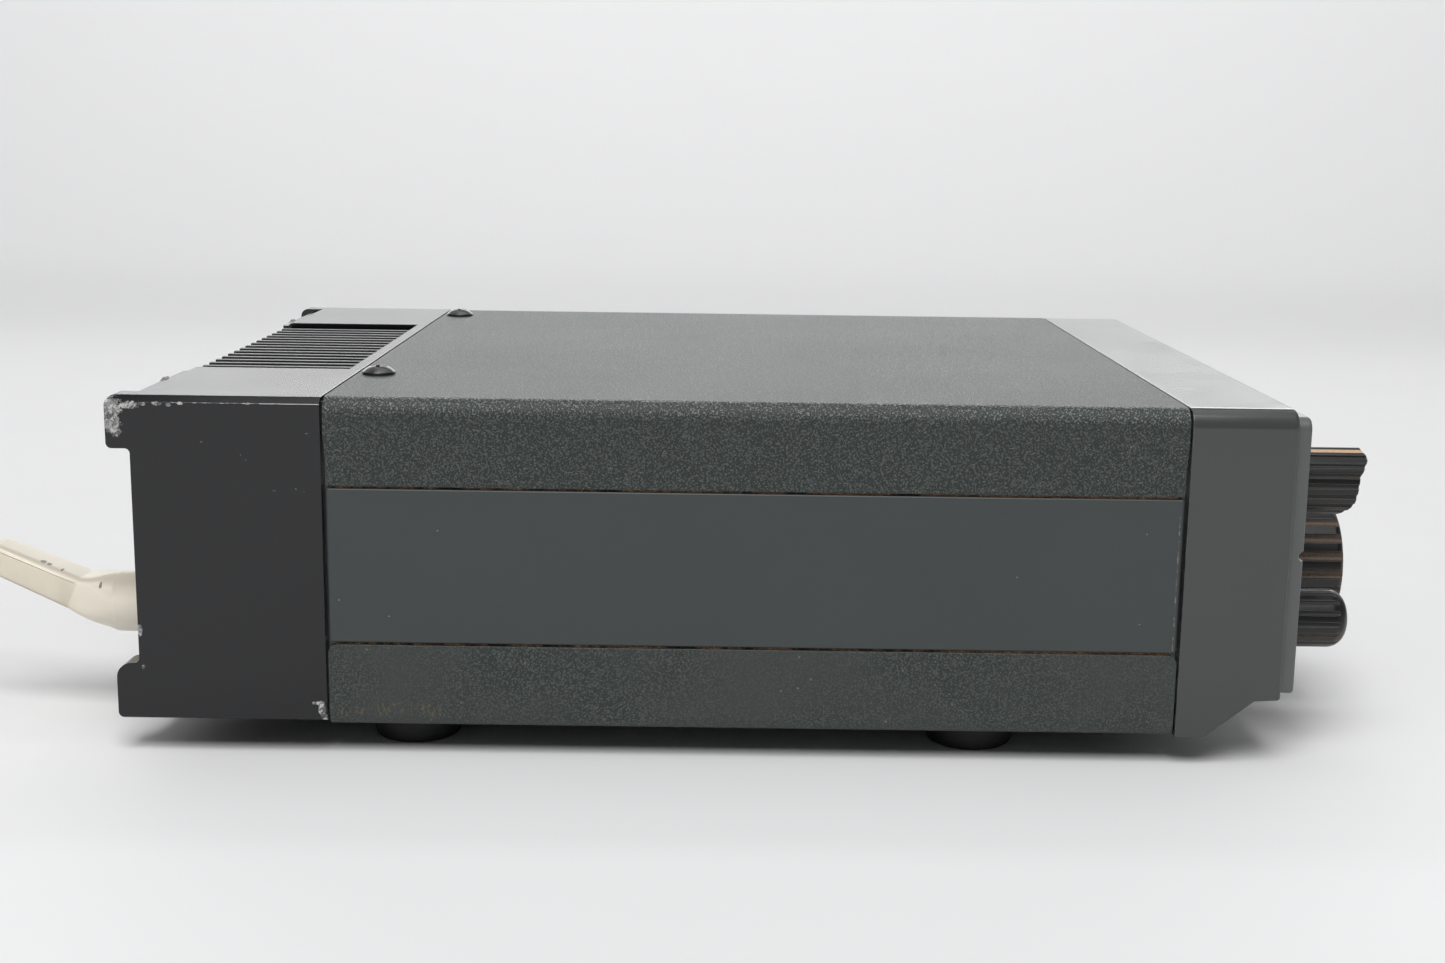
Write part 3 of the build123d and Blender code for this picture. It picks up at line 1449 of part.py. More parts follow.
def shield_boxes(inset, mode):
    """The blocks of the shields, drawn in by an inset on all sides but the board's."""
    with Locations(((main_from + main_to) / 2, 0, z_main + board_thickness)):
        with GridLocations(main_can_pitch + main_can_length / 4, main_can_pitch, 2, 2):
            length = main_can_length - 2 * inset
            width = main_can_width - 2 * inset
            Box(length, width, main_can_height - inset, align=AT_BASE, mode=mode)
    with Locations(((rf_from + rf_to) / 2, 0, z_rf)):
        with GridLocations(rf_can_pitch, rf_can_pitch, 1, 2):
            length = rf_can_length - 2 * inset
            width = rf_can_width - 2 * inset
            Box(length, width, rf_can_height - inset, align=AT_TOP, mode=mode)


with BuildPart() as shield_cans:
    shield_boxes(0, Mode.ADD)
    fillet(shield_cans.edges().filter_by(Axis.Z), sheet)
    shield_boxes(can_wall, Mode.SUBTRACT)
shield_cans.part.label = "shield_cans"
export_step(shield_cans.part, "parts/shield_cans.step")

with BuildPart() as power_module:
    half_module = module_width / 2
    module_high = module_low + module_height
    block(x_rear, x_ear, -half_module, half_module, module_low, module_high)
    y_body = half_module - module_ear
    block(x_rear, x_rear + module_depth, -y_body, y_body, module_low, module_high)
    for y in (-module_screw_y, module_screw_y):
        rod(x_rear, x_ear, y, module_mid, thread_radius + fit_gap, mode=Mode.SUBTRACT)
power_module.part.label = "power_module"
export_step(power_module.part, "parts/power_module.step")

# Speaker: pressed basket on the bottom cover, paper cone and magnet
z_speaker = z_in_low
ring_inner = speaker_radius - speaker_ring
cone_outer = ring_inner - fit_gap
with BuildPart() as speaker_frame:
    with BuildSketch(Plane.XZ):
        with BuildLine():
            Polyline(
                (ring_inner, z_speaker),
                (speaker_radius, z_speaker),
                (speaker_radius, z_speaker + speaker_flange),
                (ring_inner + basket_wall, z_speaker + speaker_flange),
                (basket_radius, z_speaker + speaker_height),
                (0, z_speaker + speaker_height),
                (0, z_speaker + speaker_height - basket_wall),
                (basket_radius - basket_wall, z_speaker + speaker_height - basket_wall),
                (ring_inner, z_speaker + speaker_flange),
                close=True,
            )
        make_face()
    revolve(axis=Axis.Z)
speaker_frame.part = speaker_frame.part.moved(Location((speaker_x, 0, 0)))
speaker_frame.part.label = "speaker_frame"
export_step(speaker_frame.part, "parts/speaker_frame.step")

with BuildPart() as speaker_cone:
    with BuildSketch(Plane.XZ):
        with BuildLine():
            Polyline(
                (cone_outer, z_speaker),
                (cone_outer, z_speaker + cone_wall),
                (cone_outer - cone_rim, z_speaker + cone_wall),
                (cone_throat, z_speaker + cone_depth),
                (0, z_speaker + cone_depth),
                (0, z_speaker + cone_depth - cone_wall),
                (cone_throat - cone_wall, z_speaker + cone_depth - cone_wall),
                (cone_outer - cone_rim - cone_wall, z_speaker),
                close=True,
            )
        make_face()
    revolve(axis=Axis.Z)
speaker_cone.part = speaker_cone.part.moved(Location((speaker_x, 0, 0)))
speaker_cone.part.label = "speaker_cone"
export_step(speaker_cone.part, "parts/speaker_cone.step")

with BuildPart() as speaker_magnet:
    with Locations((speaker_x, 0, z_speaker + speaker_height)):
        Cylinder(magnet_radius, magnet_height, align=AT_BASE)
    fillet(speaker_magnet.edges().group_by(Axis.Z)[-1], basket_wall)
speaker_magnet.part.label = "speaker_magnet"
export_step(speaker_magnet.part, "parts/speaker_magnet.step")

print("lead in all", round(lead_length + coil_length, 1), "overall length", overall)
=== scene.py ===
import math
import random

import bmesh
import bpy
from mathutils import Matrix, Vector


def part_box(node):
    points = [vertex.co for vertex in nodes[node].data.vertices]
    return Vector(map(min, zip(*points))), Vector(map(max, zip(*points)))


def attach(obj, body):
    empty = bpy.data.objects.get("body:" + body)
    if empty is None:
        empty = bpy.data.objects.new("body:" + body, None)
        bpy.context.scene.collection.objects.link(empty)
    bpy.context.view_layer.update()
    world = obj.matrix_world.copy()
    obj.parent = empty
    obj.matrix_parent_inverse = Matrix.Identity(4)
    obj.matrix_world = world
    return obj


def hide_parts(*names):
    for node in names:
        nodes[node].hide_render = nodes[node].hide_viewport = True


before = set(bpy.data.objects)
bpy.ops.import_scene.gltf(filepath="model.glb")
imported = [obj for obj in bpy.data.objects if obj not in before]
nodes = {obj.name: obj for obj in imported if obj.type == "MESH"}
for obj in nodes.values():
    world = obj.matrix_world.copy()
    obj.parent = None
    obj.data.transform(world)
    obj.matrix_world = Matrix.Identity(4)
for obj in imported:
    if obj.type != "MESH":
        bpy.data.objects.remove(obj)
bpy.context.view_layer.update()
mm = 0.001
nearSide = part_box("heat_sink")[0][1] / mm  # the case's side that faces the camera
plugLine = nearSide + 31.0  # middle of the supply plug and its lead
plugTilt = 23.2  # the plug's arm and the lead rise at this angle, in degrees
random.seed(7)


# a socket inside a material: sums written on it add Math nodes
class Wire:
    def __init__(self, tree, socket):
        self.tree = tree
        self.socket = socket

    def node(self, kind, settings=None, values=None):
        made = self.tree.nodes.new(kind)
        for key, value in (settings or {}).items():
            setattr(made, key, value)
        for key, value in (values or {}).items():
            if isinstance(value, Wire):
                self.tree.links.new(value.socket, made.inputs[key])
            else:
                made.inputs[key].default_value = value
        return [Wire(self.tree, out) for out in made.outputs]

    def maths(self, operation, first, second=0.0):
        return self.node("ShaderNodeMath", {"operation": operation}, {0: first, 1: second})[0]

    def __add__(self, other):
        return self.maths("ADD", self, other)

    __radd__ = __add__

    def __sub__(self, other):
        return self.maths("SUBTRACT", self, other)

    def __rsub__(self, other):
        return self.maths("SUBTRACT", other, self)

    def __mul__(self, other):
        return self.maths("MULTIPLY", self, other)

    __rmul__ = __mul__

    def __abs__(self):
        return self.maths("ABSOLUTE", self)


def most(first, second):
    return first.maths("MAXIMUM", first, second)


def rise(value, low, high):  # 0 below low, 1 above high, smooth between
    return value.node(
        "ShaderNodeMapRange",
        {"interpolation_type": "SMOOTHSTEP"},
        {"Value": value, "From Min": low, "From Max": high},
    )[0]


def shift(value, low, high):  # 0..1 stretched to low..high
    return value.node("ShaderNodeMapRange", {}, {"Value": value, "To Min": low, "To Max": high})[0]


def tint(share, first, second):  # colour mix
    ends = [c if isinstance(c, Wire) else (*c, 1) for c in (first, second)]
    return share.node("ShaderNodeMix", {"data_type": "RGBA"}, {0: share, 6: ends[0], 7: ends[1]})[2]


def vector(operation, first, second, out=0):
    return first.node("ShaderNodeVectorMath", {"operation": operation}, {0: first, 1: second})[out]


def stretch(place, x, y, z):  # squeezes a pattern along the axes
    return vector("MULTIPLY", place, (x, y, z))


def axes(place):
    return place.node("ShaderNodeSeparateXYZ", {}, {0: place})


def fromSide(place):  # y counted from the side that faces the camera
    return vector("SUBTRACT", place, (0, nearSide, 0))


def cloud(place, scale, detail=2.0, rough=0.5, bend=0.0):
    return place.node("ShaderNodeTexNoise", {}, {
        "Vector": place, "Scale": scale, "Detail": detail, "Roughness": rough, "Distortion": bend,
    })[0]


def cells(place, scale, feature="F1", loose=1.0):
    values = {"Vector": place, "Scale": scale, "Randomness": loose}
    return place.node("ShaderNodeTexVoronoi", {"feature": feature}, values)


def specks(place, scale, share, size):  # scattered dots in a share of the cells
    dots = cells(place, scale)
    picked = rise(axes(dots[1])[0], 1 - share, 1 - share + 0.01)
    return picked * (1 - rise(dots[0], size * 0.6, size))


def blot(place, centre, reach, ragged, fade=(0.80, 0.96)):  # one ragged patch round a point
    away = stretch(vector("SUBTRACT", place, centre), *[1 / r for r in reach])
    far = vector("LENGTH", away, (0, 0, 0), 1)
    return 1 - rise(far + ragged, *fade)


def blots(place, patches, ragged):
    found = None
    for centre, reach in patches:
        patch = blot(place, centre, reach, ragged)
        found = most(found, patch) if found else patch
    return found


def band(value, middle, half, soft):  # 1 within half of the middle
    return 1 - rise(abs(value - middle), half, half + soft)


def softEdge(place, radius):  # rounds the shading over sharp edges
    return place.node("ShaderNodeBevel", {"samples": 6}, {"Radius": radius * mm})[0]


def sharpEdgeMask(rounded, low=0.80, high=0.985):  # 1 along sharp edges, 0 on flats
    flat = rounded.node("ShaderNodeNewGeometry")[1]
    return 1 - rise(vector("DOT_PRODUCT", rounded, flat, 1), low, high)


def startFinish(name, fixed=None):
    made = bpy.data.materials.new(name)
    made.use_nodes = True
    tree = made.node_tree
    shader = tree.nodes["Principled BSDF"]
    for key, value in (fixed or {}).items():
        shader.inputs[key].default_value = value
    place = Wire(tree, tree.nodes.new("ShaderNodeTexCoord").outputs["Object"])
    return made, shader, stretch(place, 1000, 1000, 1000)  # coordinates in millimetres


def plugIn(shader, links):
    for key, wire in links.items():
        wire.tree.links.new(wire.socket, shader.inputs[key])


def bumps(height, depth, strength=1.0, under=None):  # depth in millimetres
    values = {"Height": height, "Distance": depth * mm, "Strength": strength}
    if under:
        values["Normal"] = under
    return height.node("ShaderNodeBump", {}, values)[0]


print("finishes")

coverLook = {
    "cell": 0.36,  # size of the grain
    "pull": 0.4,  # how far its cells are drawn about
    "pebble": (0.05, 0.62),
    "relief": (0.75, 0.35),  # shares of the pebbles and of the fine grain
    "pit": (0.019, 0.026, 0.024),
    "crest": (0.082, 0.096, 0.088),
    "broad": (0.044, 0.051, 0.047),
    "rough": (0.50, 0.38),  # in the pits and on the crests
    "rounding": 0.35,
    "dust": (0.16, 0.135, 0.10),
    # paler sharp edges, worn and with a painted highlight
    "edge": (0.10, 0.11, 0.105),
    "fold": (68.2, 70.6),  # painted highlight with wear on the grain crests over the bend, between these heights
    "foldSide": (6, 2),  # and from here to here, counted in from the case's sides
    "bendCrestSheen": (0.27, 0.29, 0.28),
    "scuff": (0.16, 0.115, 0.062),
    "scuffZone": {"x": (-67.5, 9.0, 3.0), "z": (9.4, 0.9, 1.0)},  # middle, half, soft
}


def coverPaint(name, contrast, depth, dustShare, scuffed=False):
    look = coverLook
    made, shader, place = startFinish(name)
    x, y, z = axes(place)
    rounded = softEdge(place, look["rounding"])
    pull = stretch(cloud(place, 1.6, 2.0), look["pull"], look["pull"], look["pull"])
    warped = vector("ADD", place, pull)
    pebble = 1 - rise(cells(warped, 1 / look["cell"], "SMOOTH_F1")[0], *look["pebble"])
    fine = cloud(place, 4.6, 2.0)
    grain = pebble * look["relief"][0] + fine * look["relief"][1]
    crests = rise(grain, 0.2, 0.9)
    broad = cloud(place, 0.035, 3.0)
    colour = tint(crests, look["pit"], look["crest"])
    colour = tint(rise(broad, 0.35, 0.75) * (1 - contrast), colour, look["broad"])
    inner, outer = (-nearSide - inwards for inwards in look["foldSide"])
    fold = rise(z, *look["fold"]) * rise(abs(y), inner, outer)
    # painted highlight over the bend: its grain crests are paler, for the bend's sheen and for wear
    colour = tint(rise(grain, 0.42, 0.8) * fold * 0.6, colour, look["bendCrestSheen"])
    dust = specks(place, 0.33, dustShare, 0.10) * rise(cloud(place, 0.06), 0.42, 0.6)
    colour = tint(dust, colour, look["dust"])
    wornLitEdges = sharpEdgeMask(rounded) * rise(cloud(place, 0.7), 0.4, 0.6)
    # the sharp edges are paler: wear and a painted highlight
    colour = tint(wornLitEdges * 0.6, colour, look["edge"])
    if scuffed:
        zone = band(x, *look["scuffZone"]["x"]) * band(z, *look["scuffZone"]["z"])
        drags = rise(cloud(stretch(place, 1.6, 0.3, 0.45), 1.1, 3.0, 0.7), 0.50, 0.64)
        drags = drags * rise(cloud(place, 0.23, 2.0), 0.44, 0.62)
        colour = tint(zone * drags * 0.75, colour, look["scuff"])
    plugIn(shader, {
        "Base Color": colour,
        "Roughness": shift(crests, *look["rough"]) + broad * 0.06,
        "Normal": bumps(grain, depth, 1.0, rounded),
    })
    return made


railLook = {
    "paint": (0.049, 0.059, 0.058),
    "deep": (0.043, 0.051, 0.051),
    "rough": (0.42, 0.50),
    "nick": (0.35, 0.36, 0.35),
    "specks": (0.085, 0.12, 0.018),  # cells to a millimetre, share of them, size in a cell
    "hairs": (0.16, 0.04, 0.03),
    "nicks": [  # centre and reach in millimetres
        ((-57.1, 0, 46.1), (0.22, 1, 0.16)),
        ((-76.7, 0, 31.9), (0.16, 1, 0.24)),
        ((-66.9, 0, 28.7), (0.30, 1, 0.14)),
        ((81.6, 0, 47.3), (0.18, 1, 0.16)),
        ((81.1, 0, 29.1), (0.20, 1, 0.14)),
        ((56.6, 0, 38.3), (0.20, 1, 0.15)),
    ],
    "wornAndLit": (0.30, 0.25, 0.17),
    "wornLitEnd": (87.9, 0.07, 0.10),  # middle, half and soft edge of a pale line at the front end, worn paint and a painted highlight on its rounding
}


def railPaint():
    look = railLook
    made, shader, place = startFinish("railPaint")
    rounded = softEdge(place, 0.2)
    broad = cloud(place, 0.03, 3.0)
    peel = cloud(place, 1.6, 2.0)
    ragged = cloud(place, 2.4, 3.0, 0.6) * 1.2 - 0.6
    nicks = most(specks(place, *look["specks"]), blots(fromSide(place), look["nicks"], ragged))
    marks = most(nicks, specks(stretch(place, 2.4, 1, 0.35), *look["hairs"]))
    broken = rise(cloud(stretch(place, 0.4, 0.4, 1), 0.5, 3.0, 0.7), 0.46, 0.60)
    # worn paint with a painted highlight along the front end's rounding
    wornAndLit = band(axes(place)[0], *look["wornLitEnd"]) * broken
    colour = tint(broad, look["deep"], look["paint"])
    colour = tint(marks * 0.55, colour, look["nick"])
    plugIn(shader, {
        "Base Color": tint(wornAndLit * 0.75, colour, look["wornAndLit"]),
        "Roughness": shift(broad, *look["rough"]) + peel * 0.04,
        "Normal": bumps(peel - marks * 0.8, 0.035, 0.6, rounded),
    })
    return made


sinkLook = {
    "paint": (0.0055, 0.006, 0.0072),
    "rough": (0.14, 0.18),
    "rougher": 0.3,  # more on bare metal and on the fins
    "metal": (0.66, 0.655, 0.64),
    "dull": (0.15, 0.15, 0.148),
    "crack": (0.03, 0.03, 0.03),
    "crumbs": 1.1,  # to a millimetre
    "fleck": (0.30, 0.30, 0.29),
    "flecks": [(0.13, 0.22, 0.014), (0.31, 0.05, 0.028)],  # as the rail's specks
    "edge": (70.7, 0.02, 0.07),  # height, half and soft edge of the painted highlight line along the chamfer's lower edge
    "edgeSide": (0.2, 0.05),  # it shows from here to here, counted in from the sides
    "finField": {"side": 44.0, "front": -82.4, "low": 20.0},
    "chips": [  # centre and reach in millimetres
        ((-120.0, 0.2, 69.5), (2.4, 3.0, 2.5)),
        ((-119.8, 0, 66.7), (1.9, 1.6, 2.5)),
        ((-119.1, 0, 65.0), (1.1, 1.4, 1.4)),
        ((-116.6, 0.2, 70.1), (2.2, 1.6, 0.8)),
        ((-113.8, 0, 70.4), (0.7, 1.0, 0.45)),
        ((-110.9, 0, 70.45), (1.2, 0.9, 0.42)),
        ((-108.8, 0, 70.25), (0.6, 0.7, 0.36)),
        ((-106.4, 0, 70.6), (0.7, 0.7, 0.26)),
        ((-93.4, 0, 70.65), (0.5, 0.7, 0.24)),
        ((-81.3, 0, 10.65), (1.5, 0.8, 0.48)),
        ((-80.6, 0, 9.2), (0.85, 1.0, 1.8)),
        ((-80.1, 0, 7.5), (0.85, 1.2, 1.1)),
        ((-116.2, 0, 25.2), (0.6, 0.8, 1.3)),
        ((-115.9, 0, 17.6), (0.4, 0.8, 0.5)),
    ],
    "scratches": [
        ((-88.8, 0, 53.6), (0.42, 0.5, 0.18)),
        ((-84.6, 0, 54.0), (0.20, 0.5, 0.14)),
        ((-82.9, 0, 53.5), (0.34, 0.5, 0.12)),
        ((-82.1, 0, 65.0), (0.34, 0.5, 0.12)),
        ((-102.6, 0, 63.1), (0.22, 0.5, 0.14)),
        ((-94.1, 0, 59.7), (0.20, 0.5, 0.20)),
        ((-95.1, 0, 60.6), (0.16, 0.5, 0.14)),
    ],
}


def sinkPaint():
    look = sinkLook
    made, shader, place = startFinish("sinkPaint", {"Specular IOR Level": 0.5})
    x, y, z = axes(place)
    rounded = softEdge(place, 0.3)
    near = fromSide(place)
    ragged = cloud(place, 1.3, 5.0, 0.7) * 1.7 - 0.85
    scratches = blots(near, look["scratches"], ragged * 0.5)
    bare = most(blots(near, look["chips"], ragged), scratches * 0.5)
    inner, outer = (-nearSide - inwards for inwards in look["edgeSide"])
    # painted highlight along the chamfer's lower edge, broken up by noise
    lineBreaks = rise(cloud(stretch(place, 1, 0.2, 0.2), 0.35, 3.0, 0.7) + x * 0.008, -0.36, -0.22)
    chamferHighlight = band(z, *look["edge"]) * rise(abs(y), inner, outer) * lineBreaks
    sparse, close = (specks(place, *dots) for dots in look["flecks"])
    fleck = most(sparse, close) * 0.4
    broad = cloud(place, 0.04, 2.0)
    bent = vector("ADD", place, stretch(cloud(place, 1.2, 4.0, 0.7), 3.0, 3.0, 3.0))
    crumb = axes(cells(bent, look["crumbs"])[1])[0]  # crushed into crumbs of unlike grey
    cracks = 1 - rise(cells(bent, look["crumbs"], "DISTANCE_TO_EDGE")[0], 0.02, 0.10)
    scrape = cloud(place, 3.4, 5.0, 0.75)
    metal = tint(rise(crumb * 0.5 + scrape * 0.9, 0.5, 0.9), look["dull"], look["metal"])
    metal = tint(cracks * 0.7, metal, look["crack"])
    field = look["finField"]
    across = 1 - rise(abs(y), field["side"] - 0.2, field["side"])
    behind = 1 - rise(x, field["front"] - 0.1, field["front"])
    fins = across * behind * rise(z, field["low"], field["low"] + 1)  # the cast fins stayed rougher
    colour = tint(fleck, look["paint"], look["fleck"])
    # the painted highlight line takes the bare metal's colour
    colour = tint(chamferHighlight * 0.75, colour, look["metal"])
    plugIn(shader, {
        "Base Color": tint(bare, colour, metal),
        "Metallic": bare * 0.35,
        "Roughness": shift(broad, *look["rough"]) + bare * look["rougher"] + fins * look["rougher"],
        "Normal": bumps(bare * (crumb * 0.9 + scrape * 0.6 - 1.2), 0.35, 0.8, rounded),
    })
    return made


mouldLook = {  # grain: depth; edge: rounding; last, how pale the sharp edges are, worn and with a painted highlight
    "bezel": {"colour": (0.051, 0.055, 0.052), "rough": 0.17, "grain": 0.0, "edge": 0.4, "rubAndSheen": 0.75},
    "panel": {"colour": (0.094, 0.101, 0.099), "rough": 0.36, "grain": 0.012, "edge": 0.35, "rubAndSheen": 0.8},
    "black": {"colour": (0.010, 0.010, 0.011), "rough": 0.45},
    "rubber": {"colour": (0.008, 0.008, 0.008), "rough": 0.70, "grain": 0.06},
    "sheath": {"colour": (0.009, 0.009, 0.010), "rough": 0.42, "grain": 0.03},
    "white": {"colour": (0.62, 0.61, 0.57), "rough": 0.40},
    "digitBlock": {"colour": (0.055, 0.008, 0.007), "rough": 0.25},
    "digitBar": {"colour": (0.17, 0.035, 0.028), "rough": 0.30},
    "ferrite": {"colour": (0.020, 0.020, 0.021), "rough": 0.60, "grain": 0.05},
}


def mouldedPlastic(name, colour, rough, grain=0.02, edge=0.25, rubAndSheen=0.0):
    made, shader, place = startFinish(name + "Mould")
    rounded = softEdge(place, edge)
    broad = cloud(place, 0.05, 3.0)
    peel = cloud(place, 2.2, 3.0)
    surface = tint(broad, colour, [c * 1.18 for c in colour])
    if rubAndSheen:
        # painted highlight with wear: the sharp edges are paler
        wornLitEdges = sharpEdgeMask(rounded) * rise(cloud(place, 0.35, 3.0, 0.6), 0.38, 0.62) * rubAndSheen
        surface = tint(wornLitEdges, surface, [c * 3.2 + 0.01 for c in colour])
    smear = rise(cloud(place, 0.11, 4.0, 0.65, 0.6), 0.55, 0.75)
    plugIn(shader, {
        "Base Color": surface,
        "Roughness": shift(broad, rough - 0.04, rough + 0.05) + smear * 0.05,
        "Normal": bumps(peel, grain, 1.0, rounded),
    })
    return made


knobLook = {
    "black": (0.0055, 0.0055, 0.0055),
    "dust": (0.095, 0.060, 0.037),
    "speck": (0.22, 0.20, 0.18),
    "ribHighlight": (0.20, 0.197, 0.19),
    "rough": (0.26, 0.36),
    "valley": (0.40, 0.08),  # in depths of a flute, counted in from the radius
    "grip": (1.6, 1.2),  # the dust and the painted highlights on the rib edges lie outside this, counted the same way
}
pointerLine = {"colour": (0.62, 0.43, 0.27), "turn": 17.0, "half": 0.62, "out": 6.4, "front": 113.5}
whiteLine = {"colour": (0.55, 0.54, 0.50), "turn": 0.0, "half": 0.4, "out": 2.0, "front": 125.0}
smallGrip = {"radius": 6.0, "flute": 0.55, "dusty": (0.7, 0.35), "line": whiteLine}
knobs = {  # centre across and up; dusty: how much, and how much of it only below the middle
    "modeGrip": {
        "centre": (nearSide + 15.0, 55.6), "radius": 6.8, "flute": 0.55, "dusty": (0.18, 0.1),
        "line": pointerLine,
    },
    "volumeGrip": {"centre": (nearSide + 15.0, 27.1), **smallGrip},
    "squelchGrip": {"centre": (-nearSide - 22.0, 55.6), **smallGrip},
    "tuningGrip": {"centre": (nearSide + 48.7, 31.4), "radius": 13.8, "flute": 1.15, "dusty": (1.0, 0.0)},
    "buttonCap": {"centre": (0.0, 37.0), "radius": 40.0, "flute": 0.5, "dusty": (0.6, 0.0)},
}


def knobMould(name, centre, radius, flute, dusty, line=None):
    look = knobLook
    made, shader, place = startFinish(name)
    rounded = softEdge(place, 0.22)
    local = vector("SUBTRACT", place, (0, *centre))
    x, y, z = axes(local)
    away = vector("LENGTH", stretch(local, 0, 1, 1), (0, 0, 0), 1)
    valley = 1 - rise(away, *[radius - flute * depth for depth in look["valley"]])
    grip = rise(away, *[radius - flute * depth for depth in look["grip"]])
    grit = rise(cloud(place, 1.6, 4.0, 0.7), 0.30, 0.60)
    share, low = dusty
    height = (z + radius * 0.3) * (low / radius)
    patchy = rise(cloud(stretch(place, 0.03, 1, 1), 0.42, 2.0) - height, 0.30, 0.55)
    # painted highlight: the grip's sharp rib edges are lighter grey
    colour = tint(sharpEdgeMask(rounded) * grip, look["black"], look["ribHighlight"])
    colour = tint(valley * grip * patchy * shift(grit, 0.45, 1.0) * share, colour, look["dust"])
    colour = tint(specks(place, 0.5, 0.10, 0.07) * 0.6, colour, look["speck"])
    if line:  # painted on, from this far out and from this far forward
        turn = math.radians(line["turn"])
        across = y * math.cos(turn) + z * math.sin(turn)
        along = z * math.cos(turn) - y * math.sin(turn)
        painted = band(across, 0, line["half"], 0.08) * rise(along, line["out"], line["out"] + 0.1)
        painted = painted * rise(x, line["front"], line["front"] + 0.1)
        colour = tint(painted * shift(grit, 0.7, 1.0), colour, line["colour"])
    plugIn(shader, {
        "Base Color": colour,
        "Roughness": shift(cloud(place, 0.3, 3.0), *look["rough"]) + valley * grip * 0.2,
        "Normal": bumps(cloud(place, 2.2, 3.0), 0.012, 1.0, rounded),
    })
    return made


metalLook = {  # brush: stretch of the fine lines
    "bareCasting": {"colour": (0.42, 0.42, 0.41), "rough": 0.48, "brush": (1, 1, 1), "scale": 0.8},
    "zincSteel": {"colour": (0.52, 0.52, 0.50), "rough": 0.30},
    "blackenedSteel": {"colour": (0.13, 0.13, 0.127), "rough": 0.32, "brush": (1, 1, 1), "scale": 1.5},
    "wornSteel": {"colour": (0.34, 0.34, 0.335), "rough": 0.30, "brush": (1, 1, 1), "scale": 1.5},
    "nickelPlate": {"colour": (0.62, 0.60, 0.56), "rough": 0.20, "brush": (1, 0.3, 0.3)},
    "brightBrass": {"colour": (0.62, 0.46, 0.20), "rough": 0.26},
}


def plainMetal(name, colour, rough, brush=(0.15, 1, 1), scale=2.0):
    made, shader, place = startFinish(name, {"Metallic": 1.0})
    lines = cloud(stretch(place, *brush), scale, 3.0, 0.6)
    broad = cloud(place, 0.08, 2.0)
    plugIn(shader, {
        "Base Color": tint(broad, [c * 0.82 for c in colour], colour),
        "Roughness": shift(lines, rough - 0.07, rough + 0.10),
        "Normal": bumps(lines, 0.012, 1.0, softEdge(place, 0.15)),
    })
    return made


boardLook = {"mask": (0.012, 0.075, 0.032), "track": (0.05, 0.17, 0.07), "coat": 0.2, "cell": 0.55}


def boardMask():
    look = boardLook
    made, shader, place = startFinish("boardMask", {"Coat Weight": look["coat"]})
    tracks = 1 - rise(cells(place, look["cell"], "DISTANCE_TO_EDGE", 0.4)[0], 0.03, 0.06)
    plugIn(shader, {
        "Base Color": tint(tracks, look["mask"], look["track"]),
        "Roughness": shift(tracks, 0.42, 0.30),
        "Normal": bumps(tracks, 0.03),
    })
    return made


creamLook = {
    "body": (0.85, 0.775, 0.64),
    "shade": (0.79, 0.715, 0.575),
    "grime": (0.50, 0.42, 0.29),
    "mark": (0.05, 0.042, 0.03),
    "marks": [  # centre and reach in millimetres, y from the plug's middle
        ((-145.1, -2.6, 31.9), (0.75, 1.0, 0.6)),
        ((-143.8, -2.8, 31.4), (0.55, 0.9, 0.6)),
        ((-141.0, -3.0, 30.3), (0.25, 1.0, 0.6)),
        ((-132.4, -5.0, 27.6), (0.3, 3, 0.75)),
    ],
    "neckLitTone": (0.93, 0.865, 0.735),
    "root": (-129.8, 0, 22.05),  # the arm's line starts here
    "armFrom": (-11, -7),  # the painted lighter neck ends between these, counted from the root
    "dusty": (0.56, 0.51, 0.415),  # painted shade: what faces up is darker
    "topShadeFrom": (2.45, 2.6),  # above the arm's line
}


def creamMould():
    look = creamLook
    made, shader, place = startFinish(
        "creamMould", {"Subsurface Weight": 0.12, "Subsurface Radius": (0.004, 0.003, 0.002)}
    )
    broad = cloud(place, 0.12, 3.0)
    ragged = cloud(place, 2.0, 3.0, 0.6) * 0.9 - 0.45
    fromPlug = vector("SUBTRACT", place, (0, plugLine, 0))
    marks = most(blots(fromPlug, look["marks"], ragged), specks(place, 0.24, 0.06, 0.05))
    grime = rise(cloud(place, 0.5, 4.0, 0.65), 0.60, 0.80) * 0.22
    x, y, z = axes(vector("SUBTRACT", place, look["root"]))
    tilt = math.radians(plugTilt)
    neck = rise(x, *look["armFrom"])
    upwards = rise(axes(place.node("ShaderNodeNewGeometry")[1])[2], 0.2, 0.8)
    above = rise(z * math.cos(tilt) + x * math.sin(tilt), *look["topShadeFrom"])
    colour = tint(rise(broad, 0.3, 0.75), look["body"], look["shade"])
    colour = tint(grime, colour, look["grime"])
    # painted light: the neck is lighter
    colour = tint(neck, colour, look["neckLitTone"])
    # painted shade on what faces up, above the arm's line and on the neck
    colour = tint(most(above, neck) * upwards, colour, look["dusty"])
    plugIn(shader, {
        "Base Color": tint(marks * 0.85, colour, look["mark"]),
        "Roughness": shift(broad, 0.36, 0.46),
        "Normal": bumps(cloud(place, 1.1, 2.0), 0.03, 1.0, softEdge(place, 0.3)),
    })
    return made


windowLook = {
    "clear": (0.020, 0.006, 0.006),
    "hazy": (0.028, 0.009, 0.008),
    "alpha": (0.68, 0.74),
    "bend": 1.49,  # of light, as in acrylic
}


def smokedWindow():
    look = windowLook
    made, shader, place = startFinish("smokedWindow", {"IOR": look["bend"]})
    haze = cloud(place, 0.2, 4.0, 0.6)
    plugIn(shader, {
        "Base Color": tint(haze, look["clear"], look["hazy"]),
        "Roughness": shift(haze, 0.04, 0.10),
        "Alpha": shift(haze, *look["alpha"]),
    })
    return made


paperLook = {"dark": (0.012, 0.011, 0.010), "fibre": (0.035, 0.032, 0.028), "depth": 0.12}


